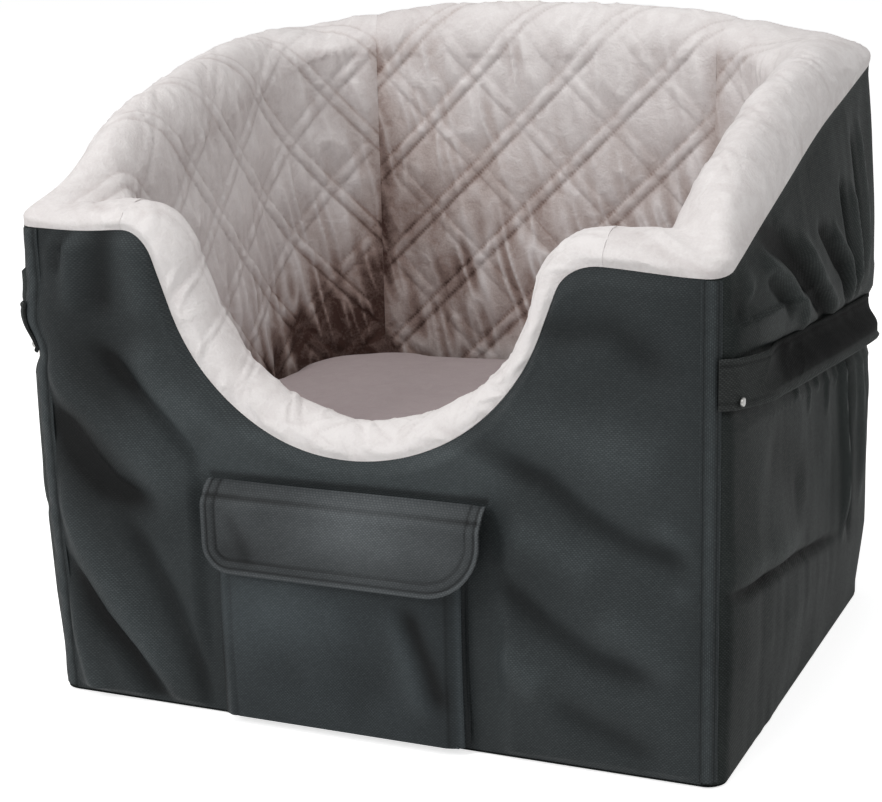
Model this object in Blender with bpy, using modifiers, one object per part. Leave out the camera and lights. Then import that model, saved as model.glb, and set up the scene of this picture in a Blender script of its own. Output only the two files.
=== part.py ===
"""Booster car seat for a small dog: a foam box in a woven cover, lined with quilted plush.

Metres, +Z up. The origin is the middle of the underside, +X is the seat's left to right
as seen from its low front side, and -Y is the front. The walls, their foam and their
lining are all lofted round one path, so each layer follows the same rim.
"""

import math

import bmesh
import bpy
from mathutils import Vector

# Main sizes
WIDTH = 0.450
DEPTH = 0.365
FRONT_TOP = 0.307
REAR_TOP = 0.387
BACK_CREST = 0.422
CABIN_FLOOR = 0.105
WALL = 0.042
COVER_FRONT_RADIUS = 0.012
COVER_REAR_RADIUS = 0.025
CABIN_FRONT_RADIUS = 0.029
CABIN_REAR_RADIUS = 0.085
REAR_FLARE = 0.022      # share by which the plan is wider at the back than at the front

# Layers
GAP = 0.0003
COVER = 0.0014
LINING = 0.0035
QUILT_PUFF = 0.0028
QUILT_PITCH = 0.048
QUILT_FADE = 0.02       # height above the cabin's floor over which the quilting flattens
COVER_BULGE = 0.0030
SIDE_FULLNESS = 0.0065

# Entry scoop in the front wall
SCOOP_LOW = 0.179
SCOOP_RADIUS = 0.128
SCOOP_SLOPE = math.radians(70.7)
SCOOP_SHIFT = -0.006    # how far the scoop's hollow lies off the middle
SHOULDER_RADIUS = 0.025
FRONT_RISE = 0.017
SIDE_CREST_GAIN = 0.078

# Cushion
CUSHION_CLEARANCE = 0.0042
CUSHION_SEAM = 0.140
CUSHION_EDGE_TOP = 0.166
CUSHION_CROWN = 0.178

# Pocket on the front panel
POCKET_LEFT = -0.096
POCKET_RIGHT = 0.067
POCKET_BOTTOM = 0.005
POCKET_MOUTH = 0.142
POCKET_DEPTH = 0.0065
GUSSET_FLARE = 0.0035
FLAP_LEFT = -0.102
FLAP_RIGHT = 0.083
FLAP_TOP = 0.160
FLAP_DROP = 0.057
FLAP_THICKNESS = 0.0020
FLAP_LEFT_RADIUS = 0.018
FLAP_RIGHT_RADIUS = 0.038
CLOSURE_THICKNESS = 0.0008

# Side bands and back strap
BAND_WIDTH = 0.030
BAND_THICKNESS = 0.0018
BAND_STANDOFF = 0.0095
BAND_FRONT_HEIGHT = 0.244
BAND_REAR_HEIGHT = 0.2075
BAND_END_X = 0.150
BAND_SEWN = 0.0016      # how far the band's sewn front end lies from the wall's face
BAND_HEM = 0.0006
RIVET_RADIUS = 0.0027
RIVET_HEAD = 0.0022
RIVET_INSET = 0.0045
WEBBING_WIDTH = 0.025
WEBBING_THICKNESS = 0.0014

# Zip low on the back
ZIP_HEIGHT = 0.050
ZIP_HALF = 0.199
ZIP_TAPE_WIDTH = 0.012
ZIP_CHAIN_WIDTH = 0.0050

HALF_WIDTH = WIDTH / 2
HALF_DEPTH = DEPTH / 2
FRONT_FAN = (HALF_WIDTH - WALL - CABIN_FRONT_RADIUS, -(HALF_DEPTH - WALL - CABIN_FRONT_RADIUS))
REAR_FAN = (HALF_WIDTH - WALL - CABIN_REAR_RADIUS, HALF_DEPTH - WALL - CABIN_REAR_RADIUS)

for old in list(bpy.data.objects):
    bpy.data.objects.remove(old, do_unlink=True)

seat = bpy.data.collections.new("dog_car_seat")
cutters = bpy.data.collections.new("cutters")
bpy.context.scene.collection.children.link(seat)
bpy.context.scene.collection.children.link(cutters)


# Materials

def finish(name, colour, roughness, metallic=0.0):
    material = bpy.data.materials.new(name)
    material.use_nodes = True
    shader = material.node_tree.nodes["Principled BSDF"]
    shader.inputs["Base Color"].default_value = (*colour, 1.0)
    shader.inputs["Roughness"].default_value = roughness
    shader.inputs["Metallic"].default_value = metallic
    return material


woven = finish("woven_polyester", (0.042, 0.047, 0.051), 0.62)
plush = finish("light_plush", (0.70, 0.66, 0.65), 0.95)
cushion_plush = finish("mauve_plush", (0.26, 0.205, 0.21), 0.95)
foam = finish("foam", (0.62, 0.60, 0.54), 0.9)
webbing = finish("webbing", (0.02, 0.021, 0.023), 0.7)
plastic = finish("black_plastic", (0.016, 0.016, 0.017), 0.42)
metal = finish("zinc", (0.55, 0.53, 0.50), 0.35, 1.0)
hook_and_loop = finish("hook_and_loop", (0.018, 0.018, 0.02), 0.85)


# Meshes

def add(name, mesh, material, collection=seat):
    piece = bpy.data.objects.new(name, mesh)
    collection.objects.link(piece)
    mesh.materials.append(material)
    mesh.shade_smooth()
    mesh.set_sharp_from_angle(angle=math.radians(40))
    return piece


def to_mesh(name, shape):
    bmesh.ops.recalc_face_normals(shape, faces=shape.faces)
    mesh = bpy.data.meshes.new(name)
    shape.to_mesh(mesh)
    shape.free()
    return mesh


def loft(name, rings, material, collection=seat):
    """One closed body through rings of equal length, with a cap on its first and last ring.

    Each four-sided facet is split along its shorter diagonal, so two layers that follow the
    same path bend the same way and keep their gap.
    """
    shape = bmesh.new()
    loops = [[shape.verts.new(point) for point in ring] for ring in rings]
    count = len(loops[0])
    for one, two in zip(loops, loops[1:]):
        for i in range(count):
            a, b, c, d = one[i], one[(i + 1) % count], two[(i + 1) % count], two[i]
            if (a.co - c.co).length <= (b.co - d.co).length:
                shape.faces.new((a, b, c))
                shape.faces.new((a, c, d))
            else:
                shape.faces.new((a, b, d))
                shape.faces.new((b, c, d))
    caps = [shape.faces.new(loops[0]), shape.faces.new(reversed(loops[-1]))]
    shape.normal_update()
    bmesh.ops.triangulate(shape, faces=caps)
    return add(name, to_mesh(name, shape), material, collection)


def plate(name, outline, low, high, rounding, material, collection=seat):
    """A moulded plate: an outline of x, z points between two depths y, its rims rounded off."""
    xs, zs = zip(*outline)
    middle_x, middle_z = (min(xs) + max(xs)) / 2, (min(zs) + max(zs)) / 2
    rings = []
    for y, inset in ((low, rounding), (low + rounding, 0), (high - rounding, 0), (high, rounding)):
        scale_x = 1 - inset / (max(xs) - middle_x)
        scale_z = 1 - inset / (max(zs) - middle_z)
        rings.append([(middle_x + (x - middle_x) * scale_x, y, middle_z + (z - middle_z) * scale_z)
                      for x, z in outline])
    return loft(name, rings, material, collection)


def block(name, low, high, material, rounding=0.0, segments=2, collection=seat):
    """A box between two corners, its origin at its middle, with rounded edges."""
    low, high = Vector(low), Vector(high)
    shape = bmesh.new()
    bmesh.ops.create_cube(shape, size=1.0)
    bmesh.ops.scale(shape, vec=high - low, verts=shape.verts)
    piece = add(name, to_mesh(name, shape), material, collection)
    piece.location = (low + high) / 2
    if rounding:
        bevel = piece.modifiers.new("rounded_edges", "BEVEL")
        bevel.width = rounding
        bevel.segments = segments
    return piece


def rod(name, start, end, radius, material, collection=seat, sides=20):
    """A round bar from start to end, its origin at its middle."""
    start, end = Vector(start), Vector(end)
    shape = bmesh.new()
    bmesh.ops.create_cone(shape, cap_ends=True, segments=sides, radius1=radius, radius2=radius,
                          depth=(end - start).length)
    piece = add(name, to_mesh(name, shape), material, collection)
    piece.location = (start + end) / 2
    piece.rotation_euler = (end - start).to_track_quat("Z", "Y").to_euler()
    return piece


def cut(piece, cutter, operation="DIFFERENCE"):
    boolean = piece.modifiers.new(cutter.name, "BOOLEAN")
    boolean.operation = operation
    boolean.solver = "EXACT"
    boolean.object = cutter
    cutter.hide_render = True
    cutter.display_type = "WIRE"


def steps(first, last, count):
    return [first + (last - first) * i / count for i in range(count + 1)]


# The wall path: a station says where the wall stands, how thick it is and how its rim lies

def flared(point):
    """The same point of a plan that widens evenly from the front to the back."""
    point.x *= 1 + REAR_FLARE * (point.y + HALF_DEPTH) / DEPTH
    return point


class Station:
    """One place on the wall: outer plan point, direction into the cabin, rim height and rise."""

    def __init__(self, outer, inward, thick, edge, rise, lean=0.0, travel=0.0):
        self.outer = Vector((outer[0], outer[1], 0.0))
        self.inward = Vector((inward[0], inward[1], 0.0)).normalized()
        self.thick = thick
        self.edge = edge
        self.rise = rise
        self.up = Vector((-math.sin(lean), 0.0, math.cos(lean)))
        self.travel = travel

    def rim(self, angle, skin):
        """A point of the rolled rim, 0 at the cover's edge and pi inside, a skin deep."""
        base = self.outer + Vector((0, 0, self.edge))
        across = skin + (self.thick / 2 - skin) * (1 - math.cos(angle))
        return flared(base + self.inward * across + self.up * (self.rise - skin) * math.sin(angle))

    def wall(self, depth, height):
        """A point at a depth from the outer face and a height above the floor."""
        return flared(self.outer + self.inward * depth + Vector((0, 0, height)))


def edge_height(y):
    return FRONT_TOP + (REAR_TOP - FRONT_TOP) * (y + HALF_DEPTH) / DEPTH


def crest_height(x, y):
    """The crest climbs fast behind the front corners, and the back is crowned in the middle."""
    back = (y + HALF_DEPTH) / DEPTH
    climb = FRONT_TOP + FRONT_RISE + SIDE_CREST_GAIN * math.sin(back * math.pi / 2) ** 0.7
    middle = BACK_CREST - FRONT_TOP - FRONT_RISE - SIDE_CREST_GAIN
    return climb + middle * back * max(0.0, 1 - (x / (HALF_WIDTH - WALL / 3)) ** 2)


def outer_hit(centre, direction, radius):
    """Where a ray from a cabin corner's centre leaves the cover's rounded rectangle."""
    cx, cy = centre
    dx, dy = direction
    reach_x = (HALF_WIDTH - cx) / dx if dx > 1e-6 else math.inf
    reach_y = (math.copysign(HALF_DEPTH, cy) - cy) / dy if abs(dy) > 1e-6 else math.inf
    reach = min(reach_x, reach_y)
    arc_x = HALF_WIDTH - radius
    arc_y = math.copysign(HALF_DEPTH - radius, cy)
    x, y = cx + dx * reach, cy + dy * reach
    if x > arc_x and abs(y) > abs(arc_y):
        ox, oy = cx - arc_x, cy - arc_y
        half_b = ox * dx + oy * dy
        reach = -half_b + math.sqrt(half_b ** 2 - (ox ** 2 + oy ** 2 - radius ** 2))
        x, y = cx + dx * reach, cy + dy * reach
    return (x, y), reach


def fan(centre, cabin_radius, cover_radius, degrees, travel):
    """A station of a right-hand corner, on a ray from the centre of the cabin's corner."""
    angle = math.radians(degrees)
    direction = (math.cos(angle), math.sin(angle))
    outer, reach = outer_hit(centre, direction, cover_radius)
    edge = edge_height(outer[1])
    return Station(outer, (-direction[0], -direction[1]), reach - cabin_radius, edge,
                   crest_height(*outer) - edge, travel=travel)


def front_corner(degrees):
    """-90 faces the front and 0 faces the right side."""
    travel = CABIN_FRONT_RADIUS * math.radians(degrees)
    return fan(FRONT_FAN, CABIN_FRONT_RADIUS, COVER_FRONT_RADIUS, degrees, travel)


def side(y):
    edge = edge_height(y)
    return Station((HALF_WIDTH, y), (-1, 0), WALL, edge, crest_height(HALF_WIDTH, y) - edge,
                   travel=y - FRONT_FAN[1])


SIDE_TRAVEL = REAR_FAN[1] - FRONT_FAN[1]
CORNER_TRAVEL = CABIN_REAR_RADIUS * math.pi / 2


def rear_corner(degrees):
    """0 faces the right side and 90 faces the back."""
    travel = SIDE_TRAVEL + CABIN_REAR_RADIUS * math.radians(degrees)
    return fan(REAR_FAN, CABIN_REAR_RADIUS, COVER_REAR_RADIUS, degrees, travel)


def back(x):
    edge = edge_height(HALF_DEPTH)
    return Station((x, HALF_DEPTH), (0, -1), WALL, edge, crest_height(x, HALF_DEPTH) - edge,
                   travel=SIDE_TRAVEL + CORNER_TRAVEL + REAR_FAN[0] - x)


def scoop(share):
    """The right half of the entry's edge as x, height and slope, share 0 in the middle to 1."""
    arc_x = SCOOP_RADIUS * math.sin(SCOOP_SLOPE)
    arc_z = SCOOP_LOW + SCOOP_RADIUS * (1 - math.cos(SCOOP_SLOPE))
    shoulder_z = FRONT_TOP - SHOULDER_RADIUS * (1 - math.cos(SCOOP_SLOPE))
    shoulder_x = arc_x + (shoulder_z - arc_z) / math.tan(SCOOP_SLOPE)
    top_x = shoulder_x + SHOULDER_RADIUS * math.sin(SCOOP_SLOPE)
    lengths = [SCOOP_RADIUS * SCOOP_SLOPE, (shoulder_z - arc_z) / math.sin(SCOOP_SLOPE),
               SHOULDER_RADIUS * SCOOP_SLOPE]
    along = share * sum(lengths)
    if along <= lengths[0]:
        slope = along / SCOOP_RADIUS
        return (SCOOP_RADIUS * math.sin(slope), SCOOP_LOW + SCOOP_RADIUS * (1 - math.cos(slope)),
                slope)
    along -= lengths[0]
    if along <= lengths[1]:
        return (arc_x + along * math.cos(SCOOP_SLOPE), arc_z + along * math.sin(SCOOP_SLOPE),
                SCOOP_SLOPE)
    slope = max(0.0, SCOOP_SLOPE - (along - lengths[1]) / SHOULDER_RADIUS)
    return (top_x - SHOULDER_RADIUS * math.sin(slope),
            FRONT_TOP - SHOULDER_RADIUS * (1 - math.cos(slope)), slope)


def front(share):
    """A station of the front wall, share -1 at the left shoulder to 1 at the right one."""
    x, height, slope = scoop(abs(share))
    turn = math.copysign(1, share)
    place = turn * x + SCOOP_SHIFT * (1 - (x / scoop(1.0)[0]) ** 8)
    return Station((place, -HALF_DEPTH), (0, 1), WALL, height, FRONT_RISE, lean=turn * slope,
                   travel=turn * x)


def mirrored(stations):
    """The same stations on the left side, listed the other way round."""
    copies = []
    for s in reversed(stations):
        copy = Station((-s.outer.x, s.outer.y), (-s.inward.x, s.inward.y), s.thick, s.edge,
                       s.rise, travel=s.travel)
        copies.append(copy)
    return copies


JOIN = 0.25     # degrees by which neighbouring panels stop short of a shared seam
FRONT_STEPS = 36
SIDE_STEPS = 10
BACK_STEPS = 13


def turn_degrees(centre, cover_radius):
    """Fan directions of a corner in three parts, with the cover's own arc in the middle one."""
    reach_x, reach_y = HALF_WIDTH - centre[0], HALF_DEPTH - abs(centre[1])
    arc_first = math.degrees(math.atan2(reach_y - cover_radius, reach_x))
    arc_last = math.degrees(math.atan2(reach_y, reach_x - cover_radius))
    side_part = steps(0, arc_first, 3)
    return side_part, side_part[-1:] + steps(arc_first, arc_last, 3)[1:], steps(arc_last, 90, 4)


front_turn = turn_degrees(FRONT_FAN, COVER_FRONT_RADIUS)
rear_turn = turn_degrees(REAR_FAN, COVER_REAR_RADIUS)
lining_seam = rear_turn[2][2]
rear_sweep = [JOIN / 2] + rear_turn[0][1:] + rear_turn[1][1:] + [rear_turn[2][1]]
rear_sweep += [lining_seam - JOIN / 2, lining_seam + JOIN / 2] + rear_turn[2][3:]


def front_run():
    """The front wall from cabin corner to cabin corner."""
    return [front(share) for share in steps(-1.0, 1.0, FRONT_STEPS)]


def side_straight():
    return [side(y) for y in steps(FRONT_FAN[1], REAR_FAN[1] - GAP / 2, SIDE_STEPS)]


def side_run():
    """The right wall: its front corner, then its straight stretch."""
    degrees = front_turn[0] + front_turn[1][1:] + front_turn[2][1:-1] + [90 - JOIN]
    return [front_corner(-d) for d in reversed(degrees)][:-1] + side_straight()


def back_run(degrees):
    """The back wall from right to left, with as much of both rear corners as the degrees give."""
    corner = [rear_corner(d) for d in degrees]
    straight = [back(x) for x in steps(REAR_FAN[0], -REAR_FAN[0], BACK_STEPS)]
    left = mirrored(corner)
    for s in left:
        s.travel = 2 * (SIDE_TRAVEL + CORNER_TRAVEL + REAR_FAN[0]) - s.travel
    return corner + straight[1:] + left[1:]


# Foam walls: each fills the space between cover and lining

ROLL_STEPS = 7
BASE_TOP = COVER + GAP


def foam_ring(s):
    inside = LINING + GAP
    ring = [s.wall(COVER + GAP, BASE_TOP)]
    ring.append(s.rim(0, COVER + GAP) - s.up * 0.002)
    ring += [s.rim(a, inside) for a in steps(0, math.pi, ROLL_STEPS)]
    ring.append(s.wall(s.thick - inside, BASE_TOP))
    return ring


loft("foam_front", [foam_ring(s) for s in front_run()], foam)
loft("foam_right", [foam_ring(s) for s in side_run()], foam)
loft("foam_left", [foam_ring(s) for s in mirrored(side_run())], foam)
loft("foam_back", [foam_ring(s) for s in back_run(rear_sweep)], foam)


def cabin_outline(offset):
    """The cabin's plan as x, y points, grown by an offset, with its rounded corners."""
    right = []
    front_degrees = [d - 90 for d in front_turn[0] + front_turn[1][1:] + front_turn[2][1:]]
    for centre, radius, degrees in ((FRONT_FAN, CABIN_FRONT_RADIUS, front_degrees),
                                    (REAR_FAN, CABIN_REAR_RADIUS, rear_sweep)):
        for d in degrees:
            a = math.radians(d)
            right.append((centre[0] + (radius + offset) * math.cos(a),
                          centre[1] + (radius + offset) * math.sin(a)))
    return right + [(-x, y) for x, y in reversed(right)]


def plan_slab(name, outline, levels, material):
    """A closed body with one outline at several heights, each level a height and an outline."""
    rings = [[flared(Vector((x, y, z))) for x, y in outline(inset)] for z, inset in levels]
    return loft(name, rings, material)


foam_top = CABIN_FLOOR - LINING - GAP
plan_slab("foam_floor", lambda inset: cabin_outline(LINING - inset),
          [(BASE_TOP, 0.002), (BASE_TOP + 0.002, 0.0), (foam_top - 0.002, 0.0), (foam_top, 0.002)], foam)


# Lining: quilted plush that rolls over the rim and down to the cabin's floor

def quilt(along, down):
    """How far the padding stands up between its crossed seams, 0 on a seam to 1 in a diamond."""
    one = math.sin(math.pi * (along + down) / math.sqrt(2) / QUILT_PITCH)
    two = math.sin(math.pi * (along - down) / math.sqrt(2) / QUILT_PITCH)
    return math.sqrt(abs(one * two))


def lining_ring(s, rows):
    ring = [s.rim(a, 0.0) for a in steps(0, math.pi, ROLL_STEPS)]
    for height in steps(s.edge, CABIN_FLOOR - LINING, rows)[1:]:
        fade = min(1.0, (height - CABIN_FLOOR) / QUILT_FADE + 0.2)
        stand = QUILT_PUFF * quilt(s.travel, s.edge - height) * fade
        ring.append(s.wall(s.thick + max(0.0, stand), height))
    ring.append(s.wall(s.thick - LINING, CABIN_FLOOR - LINING))
    ring += [s.rim(a, LINING) for a in steps(math.pi, 0, ROLL_STEPS)]
    return ring


LINING_ROWS = 12
loft("lining_front", [lining_ring(s, 4) for s in front_run()], plush)
lining_side = side_run() + [rear_corner(d) for d in rear_sweep if d < lining_seam]
loft("lining_right", [lining_ring(s, LINING_ROWS) for s in lining_side], plush)
loft("lining_left", [lining_ring(s, LINING_ROWS) for s in mirrored(lining_side)], plush)
lining_back = back_run([d for d in rear_sweep if d > lining_seam])
loft("lining_back", [lining_ring(s, LINING_ROWS) for s in lining_back], plush)
plan_slab("lining_floor", lambda inset: cabin_outline(-QUILT_PUFF - GAP - inset),
          [(CABIN_FLOOR - LINING, 0.001), (CABIN_FLOOR - 0.001, 0.0), (CABIN_FLOOR, 0.001)], plush)


# Cover: woven panels sewn at the corners, a little fuller in the middle than at their seams

WALL_FOOT = COVER + 2 * GAP
BAND_CLEAR = 0.030      # half the height over which the side cover is drawn in behind the band


def band_height(y):
    share = min(1.0, (y + HALF_DEPTH) / DEPTH)
    return BAND_FRONT_HEIGHT + (BAND_REAR_HEIGHT - BAND_FRONT_HEIGHT) * share


def plain_rows(s, hem):
    """Heights of a panel's rows with their fullness: fullest in the middle."""
    return [(WALL_FOOT + (hem - WALL_FOOT) * k, COVER_BULGE * math.sin(math.pi * k) ** 0.8)
            for k in steps(0, 1, 4)]


def side_rows(s, hem):
    """A side panel is full below the band and again above it, and drawn in behind it."""
    band = band_height(s.outer.y)
    below, above = band - BAND_CLEAR, band + BAND_CLEAR
    rows = [(WALL_FOOT + (below - WALL_FOOT) * k, f)
            for k, f in ((0, 0), (0.3, 0.85), (0.65, 1.0), (1, 0.8))]
    rows += [(band - BAND_CLEAR / 2, 0.35), (band + BAND_CLEAR / 2, 0.35)]
    rows += [(above + (hem - above) * k, f) for k, f in ((0, 0.8), (0.4, 1.0), (0.75, 0.7), (1, 0))]
    return [(height, SIDE_FULLNESS * f) for height, f in rows]


def cover_ring(s, rows_of, fullness):
    """Outer skin from foot to hem, then the inner skin back down."""
    ring = []
    top = s.rim(0, 0.0) - s.up * GAP
    rows = rows_of(s, top.z)
    for skin, order in ((0.0, 1), (COVER, -1)):
        for height, stand in rows[::order]:
            point = s.wall(skin - stand * fullness, height)
            if height == rows[-1][0]:
                point.x = top.x + s.inward.x * skin
            ring.append(point)
    return ring


def panel(name, stations, rows_of, fade_first, fade_last):
    """A cover panel whose fullness fades out over these distances from its two side seams."""
    places = [0.0]
    for one, two in zip(stations, stations[1:]):
        places.append(places[-1] + (two.outer - one.outer).length)
    rings = []
    for s, place in zip(stations, places):
        first = min(1.0, place / fade_first)
        last = min(1.0, (places[-1] - place) / fade_last)
        fullness = math.sin(first * math.pi / 2) * math.sin(last * math.pi / 2)
        rings.append(cover_ring(s, rows_of, fullness))
    return loft(name, rings, woven)


right_front = [front_corner(-d) for d in reversed(front_turn[2])][:-1]
right_front.append(front_corner(-front_turn[2][0] - JOIN / 2))
panel("cover_front", mirrored(right_front) + front_run()[1:-1] + right_front, plain_rows, 0.12, 0.12)
side_degrees = [front_turn[1][-1] - JOIN / 2] + front_turn[1][-2::-1] + front_turn[0][-2::-1]
right_side = [front_corner(-d) for d in side_degrees] + side_straight()[1:]
right_side += [rear_corner(d) for d in [JOIN / 2] + rear_turn[0][1:] + rear_turn[1][1:-1]]
right_side.append(rear_corner(rear_turn[1][-1] - JOIN / 2))
panel("cover_right", right_side, side_rows, 0.050, 0.025)
panel("cover_left", mirrored(right_side), side_rows, 0.025, 0.050)
right_back = [rear_corner(d) for d in [rear_turn[2][0] + JOIN / 2] + rear_sweep if d > rear_turn[2][0]]
back_straight = [back(x) for x in steps(REAR_FAN[0], -REAR_FAN[0], BACK_STEPS)]
panel("cover_back", right_back + back_straight[1:-1] + mirrored(right_back), plain_rows, 0.10, 0.10)


def cover_outline(inset):
    right = []
    for y_side, radius, start in ((-1, COVER_FRONT_RADIUS, -90), (1, COVER_REAR_RADIUS, 0)):
        for d in steps(start, start + 90, 6):
            a = math.radians(d)
            right.append((HALF_WIDTH - radius + (radius - inset) * math.cos(a),
                          y_side * (HALF_DEPTH - radius) + (radius - inset) * math.sin(a)))
    return right + [(-x, y) for x, y in reversed(right)]


plan_slab("cover_base", cover_outline, [(0.0, 0.0015), (COVER, 0.0004)], woven)


# Cushion: loose in the cabin, crowned on top, drawn in at its seam

CUSHION_FOOT = CABIN_FLOOR + GAP


def cushion_profile():
    """Heights and insets from the underside round the boxed side to the crown."""
    span = CUSHION_CROWN - CUSHION_EDGE_TOP
    levels = [(CUSHION_FOOT, 0.016), (CUSHION_FOOT + 0.003, 0.006), (CUSHION_FOOT + 0.012, 0.001),
              (CUSHION_SEAM - 0.005, 0.0005), (CUSHION_SEAM, 0.0025), (CUSHION_SEAM + 0.006, 0.0003),
              (CUSHION_EDGE_TOP - 0.007, 0.0025), (CUSHION_EDGE_TOP - 0.001, 0.010)]
    for share in (0.15, 0.35, 0.6, 0.85):
        inset = 0.010 + 0.110 * share
        levels.append((CUSHION_EDGE_TOP + span * math.sin(share * math.pi / 2), inset))
    return levels


def cushion_outline(inset):
    """The cabin's plan drawn in evenly by scaling, so that deep insets keep their shape."""
    full = cabin_outline(-CUSHION_CLEARANCE)
    factor_x = 1 - inset / (HALF_WIDTH - WALL - CUSHION_CLEARANCE)
    factor_y = 1 - inset / (HALF_DEPTH - WALL - CUSHION_CLEARANCE)
    return [(x * factor_x, y * factor_y) for x, y in full]


plan_slab("seat_cushion", cushion_outline, cushion_profile(), cushion_plush)


# Pocket: a bellows pocket low on the front panel, under a flap with a hook-and-loop strip

FRONT_FACE = -HALF_DEPTH - COVER_BULGE - GAP
POCKET_FACE = FRONT_FACE - POCKET_DEPTH


def sheet(name, columns, profile, thickness, material):
    """A curved sheet: columns give x, foot and top, and the profile gives y at a height."""
    rings = []
    for x, foot, top in columns:
        heights = steps(top, foot, 6)
        front_side = [(x, profile(z) - thickness, z) for z in heights]
        rings.append(front_side + [(x, profile(z), z) for z in reversed(heights)])
    return loft(name, rings, material)


def pocket_profile(z):
    """The pocket leans out a little from its mouth to its belly and in again at its foot."""
    share = (z - POCKET_BOTTOM) / (POCKET_MOUTH - POCKET_BOTTOM)
    return POCKET_FACE - 0.0015 * math.sin(math.pi * min(1.0, max(0.0, share)))


sheet("pocket_front", [(x, POCKET_BOTTOM, POCKET_MOUTH) for x in steps(POCKET_LEFT, POCKET_RIGHT, 4)],
      pocket_profile, COVER, woven)


def gusset(name, x, outward):
    """A side wall of the pocket, folded along its middle and spread towards the panel."""
    rings = []
    for z in steps(POCKET_BOTTOM, POCKET_MOUTH, 6):
        back_y, fold_y, front_y = FRONT_FACE, FRONT_FACE - POCKET_DEPTH / 2, pocket_profile(z) + GAP
        line = [(x, front_y), (x + outward * GUSSET_FLARE, fold_y), (x + outward * GUSSET_FLARE, back_y)]
        inner = [(px - outward * COVER, py) for px, py in line]
        rings.append([(px, py, z) for px, py in line + inner[::-1]])
    loft(name, rings, woven)


GUSSET_INSET = 0.001
gusset("pocket_gusset_right", POCKET_RIGHT - GUSSET_INSET, 1)
gusset("pocket_gusset_left", POCKET_LEFT + GUSSET_INSET, -1)
bottom_inset = GUSSET_INSET + COVER + 2 * GAP
block("pocket_bottom", (POCKET_LEFT + bottom_inset, POCKET_FACE + GAP, POCKET_BOTTOM),
      (POCKET_RIGHT - bottom_inset, FRONT_FACE, POCKET_BOTTOM + COVER), woven)


def flap_foot(x):
    """The flap's lower edge, with a rounded corner at each end."""
    low = FLAP_TOP - FLAP_DROP
    for radius, distance in ((FLAP_LEFT_RADIUS, x - FLAP_LEFT), (FLAP_RIGHT_RADIUS, FLAP_RIGHT - x)):
        if distance < radius:
            return low + radius - math.sqrt(radius ** 2 - (radius - distance) ** 2)
    return low


FLAP_REST = pocket_profile(FLAP_TOP - FLAP_DROP) - COVER - 2 * CLOSURE_THICKNESS - 4 * GAP


def flap_profile(z):
    """Inner face of the flap: sewn to the panel at its top, then over the pocket's mouth."""
    share = min(1.0, (FLAP_TOP - z) / (FLAP_TOP - POCKET_MOUTH - 0.003))
    return FRONT_FACE + (FLAP_REST - FRONT_FACE) * math.sin(share * math.pi / 2)


def eased(count, radius_left, radius_right, left, right):
    """x places that crowd into both rounded corners."""
    places = [left + radius_left * (1 - math.cos(a)) for a in steps(0, math.pi / 2, count)]
    middle = steps(left + radius_left, right - radius_right, 4)[1:-1]
    return places + middle + [right - radius_right * (1 - math.sin(a)) for a in steps(0, math.pi / 2, count)]


flap_columns = [(x, flap_foot(x), FLAP_TOP)
                for x in eased(6, FLAP_LEFT_RADIUS, FLAP_RIGHT_RADIUS, FLAP_LEFT, FLAP_RIGHT)]
flap_line = bpy.data.objects.new("flap_hinge_line", None)
flap_line.location = ((FLAP_LEFT + FLAP_RIGHT) / 2, FRONT_FACE - FLAP_THICKNESS / 2, FLAP_TOP)
seat.objects.link(flap_line)


def under(parent, piece):
    """Parents a piece to its joint's empty and leaves it where it is."""
    bpy.context.view_layer.update()
    piece.parent = parent
    piece.matrix_parent_inverse = parent.matrix_world.inverted()


flap = sheet("pocket_flap", flap_columns, flap_profile, FLAP_THICKNESS, woven)
under(flap_line, flap)
STRIP_LEFT, STRIP_RIGHT = -0.078, 0.040
STRIP_LOW, STRIP_HIGH = 0.106, 0.126
hook_back = FLAP_REST + GAP
hook = block("hook_strip", (STRIP_LEFT, hook_back, STRIP_LOW),
             (STRIP_RIGHT, hook_back + CLOSURE_THICKNESS, STRIP_HIGH), hook_and_loop)
under(flap_line, hook)
loop_front = hook_back + CLOSURE_THICKNESS + GAP
block("loop_strip", (STRIP_LEFT, loop_front, STRIP_LOW),
      (STRIP_RIGHT, loop_front + CLOSURE_THICKNESS, STRIP_HIGH), hook_and_loop)


# Bound seams at the two front corners

def seam_tape(name, turn):
    """A narrow turned edge that stands on the front panel beside its corner."""
    x = HALF_WIDTH - COVER_FRONT_RADIUS - 0.004
    rings = []
    for z in steps(0.004, FRONT_TOP - 0.004, 6):
        y = -HALF_DEPTH - GAP
        section = [(x, y - 0.0008), (x + 0.0035, y - 0.0016), (x + 0.007, y - 0.0008),
                   (x + 0.007, y), (x, y)]
        rings.append([(turn * px, py, z) for px, py in section])
    loft(name, rings, woven)


# Side bands: a folded band sewn in at the front seam, loose along the side and round the rear corner

BAND_START = -HALF_DEPTH + 0.0045
BAND_LEAVES = 0.055     # length over which the band comes away from the cover


BAND_STAND = COVER_BULGE + GAP + BAND_STANDOFF


def band_stand(y):
    """How far the band's inner face stands off the wall's face along the side."""
    rise = min(1.0, (y - BAND_START) / BAND_LEAVES)
    return BAND_SEWN + (BAND_STAND - BAND_SEWN) * math.sin(rise * math.pi / 2)


def band_path():
    """Plan points and outward directions of the right band's inner face, front to back."""
    arc_x, arc_y = HALF_WIDTH - COVER_REAR_RADIUS, HALF_DEPTH - COVER_REAR_RADIUS
    path = [(HALF_WIDTH + band_stand(y), y, 0.0) for y in steps(BAND_START, arc_y, 14)]
    radius = COVER_REAR_RADIUS + BAND_STAND
    for d in steps(0, 90, 8)[1:]:
        a = math.radians(d)
        path.append((arc_x + radius * math.cos(a), arc_y + radius * math.sin(a), a))
    path.append((BAND_END_X, HALF_DEPTH + BAND_STAND, math.pi / 2))
    return path


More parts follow.
